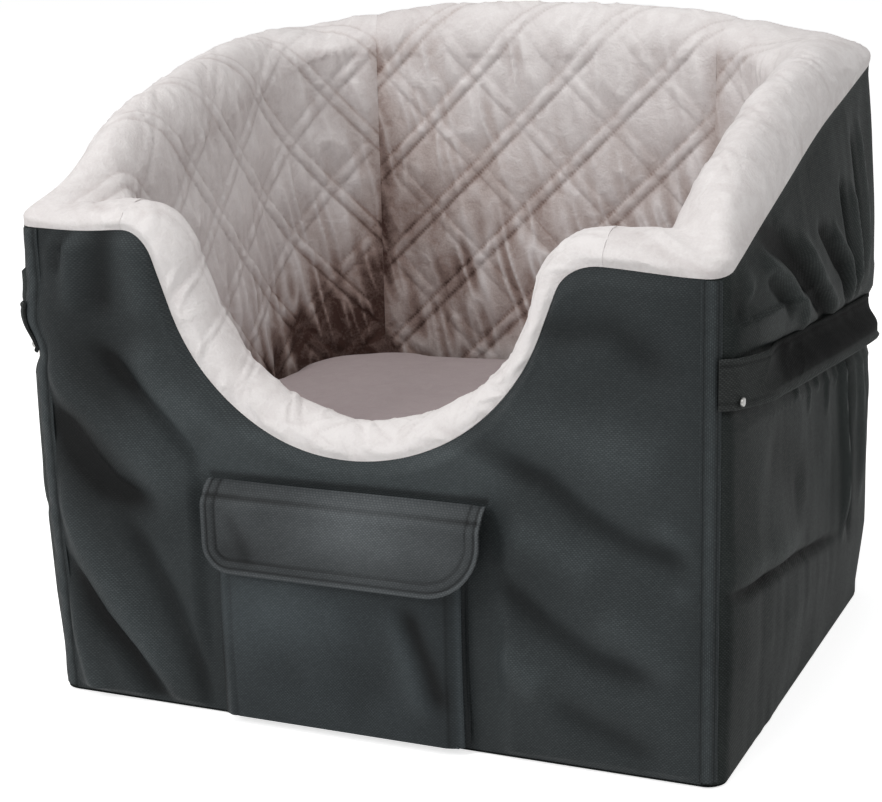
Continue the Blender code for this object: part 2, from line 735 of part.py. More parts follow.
def side_band(name, turn):
    """A flat loop of cloth with rounded hems."""
    half = BAND_WIDTH / 2
    section = [(0.0, -half), (BAND_THICKNESS / 2, -half - BAND_HEM), (BAND_THICKNESS, -half),
               (BAND_THICKNESS, half), (BAND_THICKNESS / 2, half + BAND_HEM), (0.0, half)]
    rings = []
    for x, y, angle in band_path():
        out = Vector((math.cos(angle), math.sin(angle), 0.0))
        base = flared(Vector((x, y, band_height(y))))
        points = [base + out * depth + Vector((0, 0, up)) for depth, up in section]
        rings.append([(turn * p.x, p.y, p.z) for p in points])
    loft(name, rings, woven)


def band_rivet(name, turn):
    """A small domed metal rivet through the band's lower front corner."""
    y = BAND_START + RIVET_INSET
    x = HALF_WIDTH + band_stand(y + RIVET_RADIUS) + BAND_THICKNESS + GAP
    z = band_height(y) - BAND_WIDTH / 2 + RIVET_INSET
    head = rod(name, (turn * x, y, z), (turn * (x + RIVET_HEAD), y, z), RIVET_RADIUS, metal, sides=16)
    bevel = head.modifiers.new("domed_edge", "BEVEL")
    bevel.width = RIVET_HEAD * 0.35
    bevel.segments = 2
    bevel.limit_method = "ANGLE"


for word, turn in (("left", -1), ("right", 1)):
    seam_tape("corner_seam_" + word, turn)
    side_band("side_band_" + word, turn)
    band_rivet("band_rivet_" + word, turn)


# Back strap: webbing sewn on the bands' ends and closed by a side-release buckle

STRAP_Y = HALF_DEPTH + BAND_STAND - GAP - WEBBING_THICKNESS
STRAP_Z = BAND_REAR_HEIGHT
BAND_LAP = 0.022
BUCKLE_Y = STRAP_Y - 0.0020
SOCKET_LENGTH = 0.040
SOCKET_THICKNESS = 0.0095
SOCKET_WALL = 0.0018
MOUTH_HALF = 0.0130
MOUTH_DEPTH = 0.029
INSERT_LENGTH = 0.020
PRONG_LOW, PRONG_HIGH = BUCKLE_Y - 0.0020, BUCKLE_Y + 0.0015

# Half outlines: x along the strap and the half height there
SOCKET_HALF = [(-0.0400, 0.0135), (-0.0385, 0.0158), (-0.0300, 0.0165), (-0.0265, 0.0152),
               (-0.0125, 0.0150), (-0.0090, 0.0165), (-0.0015, 0.0165), (0.0, 0.0154)]
INSERT_HALF = [(0.0006, 0.0154), (0.0018, 0.0165), (0.0085, 0.0165), (0.0115, 0.0157),
               (0.0185, 0.0157), (0.0200, 0.0146)]
TONGUE_HALF = [(-0.0190, 0.0016), (-0.0160, 0.0030), (0.0040, 0.0030)]
# One flexed prong with its latch head, all round
PRONG = [(0.0040, 0.0075), (0.0040, 0.0112), (-0.0040, 0.0114), (-0.0130, 0.0102), (-0.0152, 0.0102),
         (-0.0162, 0.0122), (-0.0195, 0.0122), (-0.0238, 0.0098), (-0.0238, 0.0082), (-0.0150, 0.0078),
         (-0.0060, 0.0078)]


def both_sides(half):
    """A closed outline round the strap's middle line from its upper half."""
    return [(x, STRAP_Z + z) for x, z in half] + [(x, STRAP_Z - z) for x, z in reversed(half)]


def strap(name, x_from, x_to):
    """A length of flat webbing with slightly rounded edges, along X."""
    half, round_off = WEBBING_WIDTH / 2, WEBBING_THICKNESS * 0.3
    thick = WEBBING_THICKNESS
    section = [(0, -half + round_off), (thick / 2, -half), (thick, -half + round_off),
               (thick, half - round_off), (thick / 2, half), (0, half - round_off)]
    rings = [[(x, STRAP_Y + across, STRAP_Z + up) for across, up in section]
             for x in steps(x_from, x_to, 2)]
    loft(name, rings, webbing)


def webbing_tunnel(name, x_from, x_to):
    """A cutter that leaves the webbing its gap all round."""
    half = WEBBING_WIDTH / 2 + GAP
    return block(name, (x_from, STRAP_Y - GAP, STRAP_Z - half),
                 (x_to, STRAP_Y + WEBBING_THICKNESS + GAP, STRAP_Z + half), plastic, collection=cutters)


SOCKET_LAP = 0.0060
strap("strap_left", -BAND_END_X - BAND_LAP, SOCKET_LAP - SOCKET_LENGTH - GAP)
strap("strap_right", 0.0040, BAND_END_X + BAND_LAP)


def female_half():
    """The socket: a mouth for the male half, pressing windows at both sides and grip ribs."""
    near, far = BUCKLE_Y - SOCKET_THICKNESS / 2, BUCKLE_Y + SOCKET_THICKNESS / 2
    socket = plate("buckle_socket", both_sides(SOCKET_HALF), near, far, SOCKET_WALL, plastic)
    for number in range(3):
        x = -SOCKET_LENGTH + 0.0085 + 0.0022 * number
        rib = block(f"grip_rib_{number}", (x, far - 0.0010, STRAP_Z - 0.0085),
                    (x + 0.0011, far + 0.0004, STRAP_Z + 0.0085), plastic, collection=cutters)
        cut(socket, rib, "UNION")
    mouth = block("socket_mouth", (-MOUTH_DEPTH, near + SOCKET_WALL, STRAP_Z - MOUTH_HALF),
                  (0.010, far - SOCKET_WALL, STRAP_Z + MOUTH_HALF), plastic, collection=cutters)
    cut(socket, mouth)
    window = block("pressing_window", (-0.0250, BUCKLE_Y - 0.0025, STRAP_Z - 0.020),
                   (-0.0135, BUCKLE_Y + 0.0025, STRAP_Z + 0.020), plastic, collection=cutters)
    cut(socket, window)
    cut(socket, webbing_tunnel("socket_tunnel", -SOCKET_LENGTH - 0.002, SOCKET_LAP - SOCKET_LENGTH))


def male_half():
    """Two prongs with latch heads and a guide tongue on a body that the webbing threads through."""
    near, far = BUCKLE_Y - 0.0030, STRAP_Y + WEBBING_THICKNESS + GAP + SOCKET_WALL
    body = plate("buckle_insert", both_sides(INSERT_HALF), near, far, 0.0010, plastic)
    window = block("ladder_window", (0.0085, STRAP_Y, STRAP_Z - 0.0110),
                   (0.0145, far + 0.002, STRAP_Z + 0.0110), plastic, collection=cutters)
    cut(body, window)
    for number, sign in enumerate((-1, 1)):
        outline = [(x, STRAP_Z + sign * z) for x, z in PRONG]
        prong = plate(f"prong_{number}", outline, PRONG_LOW, PRONG_HIGH, 0.0003, plastic, cutters)
        cut(body, prong, "UNION")
    tongue = plate("tongue", both_sides(TONGUE_HALF), PRONG_LOW, PRONG_HIGH, 0.0003, plastic, cutters)
    cut(body, tongue, "UNION")
    cut(body, webbing_tunnel("insert_tunnel", -0.002, INSERT_LENGTH + 0.002))


female_half()
male_half()


# Zip: lets the foam out through the back panel, its slider parked at the right-hand end

TAPE_Y = HALF_DEPTH + COVER_BULGE * 0.55 + GAP
TAPE_THICKNESS = 0.0008
CHAIN_THICKNESS = 0.0018
ZIP_NOTCHES = 40
for word, sign in (("upper", 1), ("lower", -1)):
    near, far = sorted((ZIP_HEIGHT + sign * 0.0003, ZIP_HEIGHT + sign * (ZIP_TAPE_WIDTH + 0.0003)))
    block("zip_tape_" + word, (-ZIP_HALF, TAPE_Y, near), (ZIP_HALF, TAPE_Y + TAPE_THICKNESS, far), webbing)
chain_y = TAPE_Y + TAPE_THICKNESS + GAP


def zip_chain():
    """The closed row of teeth: a rounded strip, notched on both edges at each tooth."""
    half = ZIP_CHAIN_WIDTH / 2
    rings = []
    for i, x in enumerate(steps(-ZIP_HALF + 0.003, ZIP_HALF - 0.003, 2 * ZIP_NOTCHES)):
        width = half * (1.0 if i % 2 else 0.8)
        section = [(0.0, -width), (CHAIN_THICKNESS, -width * 0.6), (CHAIN_THICKNESS, width * 0.6),
                   (0.0, width)]
        rings.append([(x, chain_y + across, ZIP_HEIGHT + up) for across, up in section])
    loft("zip_chain", rings, plastic)


zip_chain()
SLIDER_X = ZIP_HALF - 0.009
SLIDER_HALF = 0.0055
SLIDER_TOP = chain_y + CHAIN_THICKNESS + 0.0018
slider = block("zip_slider", (SLIDER_X - SLIDER_HALF, TAPE_Y + TAPE_THICKNESS + GAP, ZIP_HEIGHT - 0.0042),
               (SLIDER_X + SLIDER_HALF, SLIDER_TOP, ZIP_HEIGHT + 0.0042), metal, 0.0008)
channel = block("slider_channel",
                (SLIDER_X - 0.010, TAPE_Y - 0.002, ZIP_HEIGHT - ZIP_CHAIN_WIDTH / 2 - GAP),
                (SLIDER_X + 0.010, chain_y + CHAIN_THICKNESS + GAP, ZIP_HEIGHT + ZIP_CHAIN_WIDTH / 2 + GAP),
                metal, collection=cutters)
cut(slider, channel)
PIN_Y = SLIDER_TOP + 0.0024
for number, sign in enumerate((-1, 1)):
    near, far = sorted((ZIP_HEIGHT + sign * 0.0022, ZIP_HEIGHT + sign * 0.0034))
    ear = block(f"slider_ear_{number}", (SLIDER_X - 0.0014, SLIDER_TOP - 0.0008, near),
                (SLIDER_X + 0.0014, PIN_Y + 0.0012, far), metal, collection=cutters)
    cut(slider, ear, "UNION")
pin = rod("slider_pin", (SLIDER_X, PIN_Y, ZIP_HEIGHT - 0.0030),
          (SLIDER_X, PIN_Y, ZIP_HEIGHT + 0.0030), 0.0007, metal, cutters, 12)
cut(slider, pin, "UNION")

PULL_LENGTH = 0.038
pull_line = bpy.data.objects.new("zip_pull_line", None)
pull_line.location = (SLIDER_X, PIN_Y, ZIP_HEIGHT)
seat.objects.link(pull_line)
pull = block("zip_pull", (SLIDER_X - 0.0017, PIN_Y - 0.0011, ZIP_HEIGHT - 0.0018),
             (SLIDER_X + PULL_LENGTH, PIN_Y + 0.0011, ZIP_HEIGHT + 0.0018), metal, 0.0004, 1)
eye = rod("pull_eye", (SLIDER_X, PIN_Y, ZIP_HEIGHT - 0.004), (SLIDER_X, PIN_Y, ZIP_HEIGHT + 0.004), 0.00095,
          metal, cutters, 12)
cut(pull, eye)
under(pull_line, pull)
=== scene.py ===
import math

import bpy
import numpy as np
from mathutils import Matrix, Vector


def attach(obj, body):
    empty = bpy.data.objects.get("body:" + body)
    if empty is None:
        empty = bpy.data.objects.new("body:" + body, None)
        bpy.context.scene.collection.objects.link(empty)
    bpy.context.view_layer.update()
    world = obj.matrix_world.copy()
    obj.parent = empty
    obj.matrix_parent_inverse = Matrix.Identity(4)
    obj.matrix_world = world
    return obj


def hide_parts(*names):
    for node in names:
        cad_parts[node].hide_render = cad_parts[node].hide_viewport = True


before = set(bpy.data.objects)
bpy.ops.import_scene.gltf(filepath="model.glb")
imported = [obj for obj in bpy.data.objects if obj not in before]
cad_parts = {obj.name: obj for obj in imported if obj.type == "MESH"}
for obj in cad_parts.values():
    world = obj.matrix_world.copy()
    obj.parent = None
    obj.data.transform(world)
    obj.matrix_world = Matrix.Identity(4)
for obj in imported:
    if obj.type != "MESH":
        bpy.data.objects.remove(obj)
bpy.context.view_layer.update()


# Setting: a white sweep under large soft lamps, as a small product is shown. The camera looks
# down a little from the front right, so that the scooped front and the right side both show.

CAMERA_PLACE = Vector((0.5137, -1.2436, 0.5348))
CAMERA_YAW, CAMERA_DROP, CAMERA_ROLL = (math.radians(angle) for angle in (23.431, 15.201, -1.452))
camera = bpy.data.objects.new("camera", bpy.data.cameras.new("camera"))
bpy.context.scene.collection.objects.link(camera)
camera.matrix_world = (Matrix.Translation(CAMERA_PLACE) @ Matrix.Rotation(CAMERA_YAW, 4, "Z")
                       @ Matrix.Rotation(math.pi / 2 - CAMERA_DROP, 4, "X")
                       @ Matrix.Rotation(CAMERA_ROLL, 4, "Z"))
camera.data.lens = 83.67
camera.data.sensor_width = 36.0
bpy.context.scene.camera = camera
bpy.context.scene.view_settings.view_transform = "Standard"

LAMP_AIM = Vector((0, 0, 0.2))
for name, place, width, power in (("top_lamp", (-0.25, -0.75, 2.2), 1.1, 19.0),
                                  ("front_lamp", (-1.7, -2.0, 1.7), 0.9, 27.0),
                                  ("side_lamp", (1.9, -0.5, 1.7), 0.8, 9.0)):
    data = bpy.data.lights.new(name, "AREA")
    data.shape = "SQUARE"
    data.size = width
    data.energy = power
    lamp = bpy.data.objects.new(name, data)
    lamp.location = place
    lamp.rotation_euler = (LAMP_AIM - Vector(place)).to_track_quat("-Z", "Y").to_euler()
    bpy.context.scene.collection.objects.link(lamp)


def fill(tree, node, sockets):
    """Links or sets a node's sockets, given by name or number."""
    for key, value in sockets.items():
        if isinstance(value, bpy.types.NodeSocket):
            tree.links.new(value, node.inputs[key])
        else:
            node.inputs[key].default_value = value


def add_node(tree, kind, settings=None, **sockets):
    made = tree.nodes.new("ShaderNode" + kind)
    for key, value in (settings or {}).items():
        setattr(made, key, value)
    fill(tree, made, {key.replace("_", " "): value for key, value in sockets.items()})
    return made


def calc(tree, operation, *values, clamp=False):
    """The result of a Math node on sockets or numbers."""
    made = tree.nodes.new("ShaderNodeMath")
    made.operation = operation
    made.use_clamp = clamp
    fill(tree, made, dict(enumerate(values)))
    return made.outputs[0]


def seen_directly(tree):
    """1 for camera, mirror and glass rays, which see the background as plain white."""
    path = add_node(tree, "LightPath")
    one = calc(tree, "MAXIMUM", path.outputs["Is Camera Ray"], path.outputs["Is Glossy Ray"])
    return calc(tree, "MAXIMUM", one, path.outputs["Is Transmission Ray"])


WORLD_LEVEL = 0.30
world = bpy.data.worlds.new("studio")
bpy.context.scene.world = world
world.use_nodes = True
tree = world.node_tree
soft_light = tree.nodes["Background"]
fill(tree, soft_light, {"Color": (1, 1, 1, 1), "Strength": WORLD_LEVEL})
plain_white = add_node(tree, "Background", Color=(1, 1, 1, 1), Strength=1.0)
choice = add_node(tree, "MixShader")
fill(tree, choice, {0: seen_directly(tree), 1: soft_light.outputs[0], 2: plain_white.outputs[0]})
tree.links.new(choice.outputs[0], tree.nodes["World Output"].inputs["Surface"])

FLOOR_GLOW = 0.72
bpy.ops.object.select_all(action="DESELECT")
bpy.ops.mesh.primitive_plane_add(size=40.0, location=(0, 0, -0.0005))
floor = bpy.context.active_object
floor.name = "floor"
floor_paint = bpy.data.materials.new("floor_paint")
floor_paint.use_nodes = True
tree = floor_paint.node_tree
glow = calc(tree, "MULTIPLY", seen_directly(tree), FLOOR_GLOW)
fill(tree, tree.nodes["Principled BSDF"], {
    "Base Color": (0.9, 0.9, 0.9, 1), "Roughness": 1.0, "Specular IOR Level": 0.0,
    "Emission Color": (1, 1, 1, 1), "Emission Strength": glow})
floor.data.materials.append(floor_paint)


# Foam walls and floor: soft upholstery foam, cut in blocks about 37 mm thick, one to a wall, and a
# thick raised block under the cabin. They stand loose between the cover and the quilted lining.
# All layers of the wall follow one path, which is set out here.

WIDTH, DEPTH = 0.450, 0.365
HALF_WIDTH, HALF_DEPTH = WIDTH / 2, DEPTH / 2
FRONT_TOP, REAR_TOP, BACK_CREST = 0.307, 0.387, 0.422
CABIN_FLOOR = 0.105
WALL = 0.042
COVER_FRONT_RADIUS, COVER_REAR_RADIUS = 0.012, 0.025
CABIN_FRONT_RADIUS, CABIN_REAR_RADIUS = 0.029, 0.085
REAR_FLARE = 0.022
GAP, COVER, LINING = 0.0003, 0.0014, 0.0035
SCOOP_LOW, SCOOP_RADIUS, SCOOP_SHIFT = 0.179, 0.128, -0.006
SCOOP_SLOPE = math.radians(70.7)
SHOULDER_RADIUS, FRONT_RISE, SIDE_CREST_GAIN = 0.025, 0.017, 0.078
FRONT_FAN = (HALF_WIDTH - WALL - CABIN_FRONT_RADIUS, -(HALF_DEPTH - WALL - CABIN_FRONT_RADIUS))
REAR_FAN = (HALF_WIDTH - WALL - CABIN_REAR_RADIUS, HALF_DEPTH - WALL - CABIN_REAR_RADIUS)
SIDE_TRAVEL = REAR_FAN[1] - FRONT_FAN[1]
MIDDLE_TRAVEL = SIDE_TRAVEL + CABIN_REAR_RADIUS * math.pi / 2 + REAR_FAN[0]

# Where the real seat has settled out of true: place, reach and shift
SETTLED = [
    ((-0.222, -0.182, 0.305), (0.045, 0.070, 0.050), (-0.0055, 0.0, 0.0045)),
    ((-0.222, -0.182, 0.190), (0.045, 0.080, 0.130), (-0.0062, 0.0, 0.0)),
    ((0.215, -0.182, 0.305), (0.050, 0.060, 0.040), (0.0, 0.0, -0.0045)),
    ((-0.148, -0.165, 0.296), (0.030, 0.060, 0.030), (-0.0030, 0.0, 0.0055)),
    ((-0.050, -0.165, 0.180), (0.060, 0.060, 0.025), (0.0, 0.0, -0.0015)),
    ((-0.224, -0.178, 0.251), (0.030, 0.022, 0.014), (-0.0050, 0.0, 0.0)),
    ((-0.228, -0.174, 0.2315), (0.030, 0.011, 0.009), (0.0058, 0.0, 0.0)),
    ((0.225, 0.020, 0.360), (0.080, 0.090, 0.060), (0.0, 0.0, 0.0065)),
    ((-0.225, 0.035, 0.365), (0.080, 0.100, 0.060), (-0.0010, 0.0, 0.0085)),
    ((-0.232, -0.064, 0.358), (0.060, 0.040, 0.050), (0.0, 0.0, 0.0056)),
    ((-0.232, -0.144, 0.322), (0.060, 0.030, 0.040), (0.0, 0.0, -0.0085)),
    ((0.238, 0.150, 0.290), (0.060, 0.060, 0.090), (-0.0040, 0.0, 0.0)),
]


def settled(points):
    """Widens the plan towards the back, and lets the seat sit a little out of true."""
    points = np.array(points, float)
    points[..., 0] *= 1 + REAR_FLARE * (points[..., 1] + HALF_DEPTH) / DEPTH
    moved = points.copy()
    for place, reach, shift in SETTLED:
        away = ((points - place) / reach) ** 2
        moved += np.exp(-away.sum(axis=-1, keepdims=True)) * shift
    return moved


def ridge(value, middle, width):
    """A round peak of 1 at the middle."""
    return np.exp(-((value - middle) / width) ** 2)


def spread(first, last, step):
    """Even places from first to last, about a step apart."""
    return np.linspace(first, last, max(2, round(abs(last - first) / step) + 1))


def station(x, y, inward, thick, height, travel):
    """A place round the wall: where it is, which way is in, its thickness, its cover's top edge, how
    far the rim rises over that, its lean, and the way travelled round the cabin."""
    return (x, y, *inward, thick, height, crest_height(x, y) - height, 0.0, travel)


def edge_height(y):
    return FRONT_TOP + (REAR_TOP - FRONT_TOP) * (y + HALF_DEPTH) / DEPTH


def crest_height(x, y):
    back = (y + HALF_DEPTH) / DEPTH
    climb = FRONT_TOP + FRONT_RISE + SIDE_CREST_GAIN * math.sin(back * math.pi / 2) ** 0.7
    middle = BACK_CREST - FRONT_TOP - FRONT_RISE - SIDE_CREST_GAIN
    return climb + middle * back * max(0.0, 1 - (x / (HALF_WIDTH - WALL / 3)) ** 2)


def corner_station(centre, cabin_radius, cover_radius, degrees, travel):
    """A place on a right-hand corner, on a ray from the centre of the cabin's corner."""
    dx, dy = math.cos(math.radians(degrees)), math.sin(math.radians(degrees))
    cx, cy = centre
    reach_x = (HALF_WIDTH - cx) / dx if dx > 1e-6 else math.inf
    reach_y = (math.copysign(HALF_DEPTH, cy) - cy) / dy if abs(dy) > 1e-6 else math.inf
    reach = min(reach_x, reach_y)
    arc_x, arc_y = HALF_WIDTH - cover_radius, math.copysign(HALF_DEPTH - cover_radius, cy)
    x, y = cx + dx * reach, cy + dy * reach
    if x > arc_x and abs(y) > abs(arc_y):
        ox, oy = cx - arc_x, cy - arc_y
        half_b = ox * dx + oy * dy
        reach = -half_b + math.sqrt(half_b ** 2 - (ox ** 2 + oy ** 2 - cover_radius ** 2))
        x, y = cx + dx * reach, cy + dy * reach
    return station(x, y, (-dx, -dy), reach - cabin_radius, edge_height(y), travel)


def front_corner(degrees):
    """-90 faces the front and 0 faces the right side."""
    return corner_station(FRONT_FAN, CABIN_FRONT_RADIUS, COVER_FRONT_RADIUS, degrees,
                          CABIN_FRONT_RADIUS * math.radians(degrees))


def side(y):
    return station(HALF_WIDTH, y, (-1.0, 0.0), WALL, edge_height(y), y - FRONT_FAN[1])


def rear_corner(degrees):
    """0 faces the right side and 90 faces the back."""
    return corner_station(REAR_FAN, CABIN_REAR_RADIUS, COVER_REAR_RADIUS, degrees,
                          SIDE_TRAVEL + CABIN_REAR_RADIUS * math.radians(degrees))


def back(x):
    return station(x, HALF_DEPTH, (0.0, -1.0), WALL, edge_height(HALF_DEPTH), MIDDLE_TRAVEL - x)


SCOOP_ARC = SCOOP_RADIUS * SCOOP_SLOPE
ARC_X, ARC_Z = SCOOP_RADIUS * math.sin(SCOOP_SLOPE), SCOOP_LOW + SCOOP_RADIUS * (1 - math.cos(SCOOP_SLOPE))
SHOULDER_Z = FRONT_TOP - SHOULDER_RADIUS * (1 - math.cos(SCOOP_SLOPE))
SCOOP_STRAIGHT = (SHOULDER_Z - ARC_Z) / math.sin(SCOOP_SLOPE)
SCOOP_END = ARC_X + SCOOP_STRAIGHT * math.cos(SCOOP_SLOPE) + SHOULDER_RADIUS * math.sin(SCOOP_SLOPE)
HALF_SCOOP = SCOOP_ARC + SCOOP_STRAIGHT + SHOULDER_RADIUS * SCOOP_SLOPE
FRONT_MIDDLE_TRAVEL = -CABIN_FRONT_RADIUS * math.pi / 2 - HALF_SCOOP


def front(share):
    """A place on the front wall, share -1 at the left shoulder to 1 at the right one."""
    along = abs(share) * HALF_SCOOP
    turn = math.copysign(1, share)
    if along <= SCOOP_ARC:
        slope = along / SCOOP_RADIUS
        x, height = SCOOP_RADIUS * math.sin(slope), SCOOP_LOW + SCOOP_RADIUS * (1 - math.cos(slope))
    elif along <= SCOOP_ARC + SCOOP_STRAIGHT:
        up, slope = along - SCOOP_ARC, SCOOP_SLOPE
        x, height = ARC_X + up * math.cos(SCOOP_SLOPE), ARC_Z + up * math.sin(SCOOP_SLOPE)
    else:
        slope = max(0.0, SCOOP_SLOPE - (along - SCOOP_ARC - SCOOP_STRAIGHT) / SHOULDER_RADIUS)
        x = SCOOP_END - SHOULDER_RADIUS * math.sin(slope)
        height = FRONT_TOP - SHOULDER_RADIUS * (1 - math.cos(slope))
    place = turn * x + SCOOP_SHIFT * (1 - (x / SCOOP_END) ** 8)
    rise = FRONT_RISE - 0.0045 * ridge(share, 0.64, 0.20)
    return (place, -HALF_DEPTH, 0.0, 1.0, WALL, height, rise, turn * slope,
            FRONT_MIDDLE_TRAVEL + turn * along)


def mirrored(stations):
    """The same stations on the left, whose way round goes on from the front wall's left end."""
    return [(-x, y, -ix, iy, thick, edge, rise, -lean, 2 * FRONT_MIDDLE_TRAVEL - travel)
            for x, y, ix, iy, thick, edge, rise, lean, travel in reversed(stations)]


def front_run(step):
    return [front(share) for share in spread(-1, 1, step / 0.22)]


def side_run(step):
    corner = [front_corner(d) for d in spread(-89.97, 0, math.degrees(step / 0.06))]
    return corner[:-1] + [side(y) for y in spread(FRONT_FAN[1], REAR_FAN[1] - GAP, step)]


def back_run(step, from_degrees):
    corner = [rear_corner(d) for d in spread(from_degrees, 90, math.degrees(step / 0.11))]
    straight = [back(x) for x in spread(REAR_FAN[0], -REAR_FAN[0], step)]
    round_back = 2 * (MIDDLE_TRAVEL - FRONT_MIDDLE_TRAVEL)
    left = [(*s[:8], round_back + s[8]) for s in mirrored(corner)]
    return corner + straight[1:] + left[1:]


class Wall:
    """A run of stations, as arrays with one row to a station."""

    def __init__(self, stations):
        table = np.array(stations)
        self.outer, self.inward = table[:, None, 0:2], table[:, None, 2:4]
        self.thick, self.edge, self.rise, self.lean, self.travel = (table[:, k, None] for k in range(4, 9))

    def rim(self, angle, skin):
        """Points of the rolled rim, angle 0 at the cover's edge and pi inside, a skin deep."""
        across = skin + (self.thick / 2 - skin) * (1 - np.cos(angle))
        lift = (self.rise - skin) * np.sin(angle)
        plan = self.outer + self.inward * across[..., None]
        return np.dstack([plan[..., 0] - np.sin(self.lean) * lift, plan[..., 1],
                          self.edge + np.cos(self.lean) * lift])

    def face(self, depth, height):
        """Points at a depth in from the outer face, at a height above the floor."""
        depth, height = np.broadcast_arrays(depth, height)
        plan = self.outer + self.inward * depth[..., None]
        return np.dstack([plan, height])


CREASE = math.radians(50)


def skin(name, rings, finish, cloth=None, tone=0.5):
    """One closed body through rings of equal length, capped at its first and last ring. It carries its
    cloth's coordinates in metres and a tone, from 0 sunk to 1 raised, which its finish may read as
    painted shade where low and painted light where high."""
    index = np.arange(rings.shape[0] * rings.shape[1]).reshape(rings.shape[:2])
    one, two = index[:-1], index[1:]
    quads = np.stack([one, np.roll(one, -1, 1), np.roll(two, -1, 1), two], axis=-1).reshape(-1, 4)
    points = rings.reshape(-1, 3)
    corners = points[quads]
    facing = np.cross(corners[:, 2] - corners[:, 0], corners[:, 3] - corners[:, 1])
    faces = quads.tolist() + [index[0][::-1].tolist(), index[-1].tolist()]
    if ((corners.mean(axis=1) - points.mean(axis=0)) * facing).sum() < 0:
        faces = [face[::-1] for face in faces]
    mesh = bpy.data.meshes.new(name)
    mesh.from_pydata(points.tolist(), [], faces)
    if cloth is not None:
        corner = np.empty(len(mesh.loops), int)
        mesh.loops.foreach_get("vertex_index", corner)
        mesh.uv_layers.new(name="cloth").data.foreach_set("uv", cloth.reshape(-1, 2)[corner].ravel())
    levels = np.array(np.broadcast_to(tone, rings.shape[:2]), float)
    mesh.attributes.new("tone", "FLOAT", "POINT").data.foreach_set("value", levels.ravel())
    mesh.shade_smooth()
    mesh.set_sharp_from_angle(angle=CREASE)
    mesh.materials.append(finish)
    made = bpy.data.objects.new(name, mesh)
    bpy.context.scene.collection.objects.link(made)
    return made


def new_material(name, **sockets):
    """A material whose shader's constant values are set, with its node tree."""
    material = bpy.data.materials.new(name)
    material.use_nodes = True
    tree = material.node_tree
    shader = tree.nodes["Principled BSDF"]
    fill(tree, shader, {key.replace("_", " "): value for key, value in sockets.items()})
    return material, tree, shader


def object_place(tree):
    return add_node(tree, "TexCoord").outputs["Object"]


def noise(tree, place, scale, detail, **more):
    return add_node(tree, "TexNoise", Vector=place, Scale=scale, Detail=detail, **more).outputs["Fac"]


def centred(tree, value, strength):
    """How far a value from 0 to 1 is from its middle, times a strength."""
    return calc(tree, "MULTIPLY", calc(tree, "SUBTRACT", value, 0.5), strength)


def colour_by(tree, shader, share, dark, light):
    mixed = add_node(tree, "MixRGB", Fac=share, Color1=(*dark, 1), Color2=(*light, 1))
    tree.links.new(mixed.outputs[0], shader.inputs["Base Color"])


def relief_by(tree, shader, height, strength, depth, inward=False):
    bump = add_node(tree, "Bump", {"invert": inward}, Strength=strength, Distance=depth, Height=height)
    tree.links.new(bump.outputs[0], shader.inputs["Normal"])


def node_group(name, inputs, output):
    """An empty shader group with its sockets, and its inner tree and ends."""
    tree = bpy.data.node_groups.new(name, "ShaderNodeTree")
    for socket_name, kind in inputs.items():
        tree.interface.new_socket(name=socket_name, in_out="INPUT", socket_type="NodeSocket" + kind)
    tree.interface.new_socket(name=output, in_out="OUTPUT", socket_type="NodeSocketFloat")
    return tree, tree.nodes.new("NodeGroupInput").outputs, tree.nodes.new("NodeGroupOutput").inputs


def place_group(tree, group, **sockets):
    made = tree.nodes.new("ShaderNodeGroup")
    made.node_tree = group
    fill(tree, made, sockets)
    return made.outputs[0]


# Slow, soft differences of shade, as dye, handling and light wear give
shade_drift, start, end = node_group(
    "shade_drift", {"Place": "Vector", "Scale": "Float", "Amount": "Float"}, "Shade")
blotches = noise(shade_drift, start["Place"], start["Scale"], 3.0, Roughness=0.55)
shade = calc(shade_drift, "ADD", centred(shade_drift, blotches, start["Amount"]), 0.5, clamp=True)
shade_drift.links.new(shade, end["Shade"])


def shaded(tree, place, scale, amount):
    return place_group(tree, shade_drift, Place=place, Scale=scale, Amount=amount)


foam_finish, tree, shader = new_material("cut_foam", Roughness=0.95)
place = object_place(tree)
colour_by(tree, shader, shaded(tree, place, 18.0, 0.8), (0.60, 0.57, 0.50), (0.69, 0.67, 0.61))
cells = add_node(tree, "TexVoronoi", Vector=place, Scale=420.0).outputs["Distance"]
relief_by(tree, shader, cells, 0.6, 0.0008)

FOAM_FOOT = COVER + GAP
FOAM_EASE = 0.002       # how much a block's long edges are eased
FOAM_STEP = 0.006
ROLL = np.linspace(0, math.pi, 15)


def foam_block(piece, node):
    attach(piece, "shell")
    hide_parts(node)


right_run = side_run(FOAM_STEP)
for word, stations in (("front", front_run(FOAM_STEP)), ("right", right_run), ("left", mirrored(right_run)),
                       ("back", back_run(FOAM_STEP, 0.1))):
    wall = Wall(stations)
    low = np.full((len(stations), 1), FOAM_FOOT)
    outside = wall.face(COVER + GAP, np.hstack([low, low + FOAM_EASE, wall.edge - FOAM_EASE]))
    rolled = wall.rim(ROLL, np.full((len(stations), len(ROLL)), LINING + GAP))
    foot = wall.face(wall.thick - (LINING + GAP), low)
    rings = settled(np.concatenate([outside, rolled, foot], axis=1))
    foam_block(skin("foam_block_" + word, rings, foam_finish), "foam_" + word)


def both_sides(right):
    """An outline from its right half, anticlockwise from the front."""
    return np.array(right + [(-x, y) for x, y in reversed(right)])


def cabin_outline(offset):
    """The cabin's plan, grown by an offset."""
    return both_sides([(cx + (radius + offset) * math.cos(a), cy + (radius + offset) * math.sin(a))
                       for (cx, cy), radius, first in ((FRONT_FAN, CABIN_FRONT_RADIUS, -90),
                                                       (REAR_FAN, CABIN_REAR_RADIUS, 0))
                       for a in np.radians(spread(first, first + 90, 4.0))])


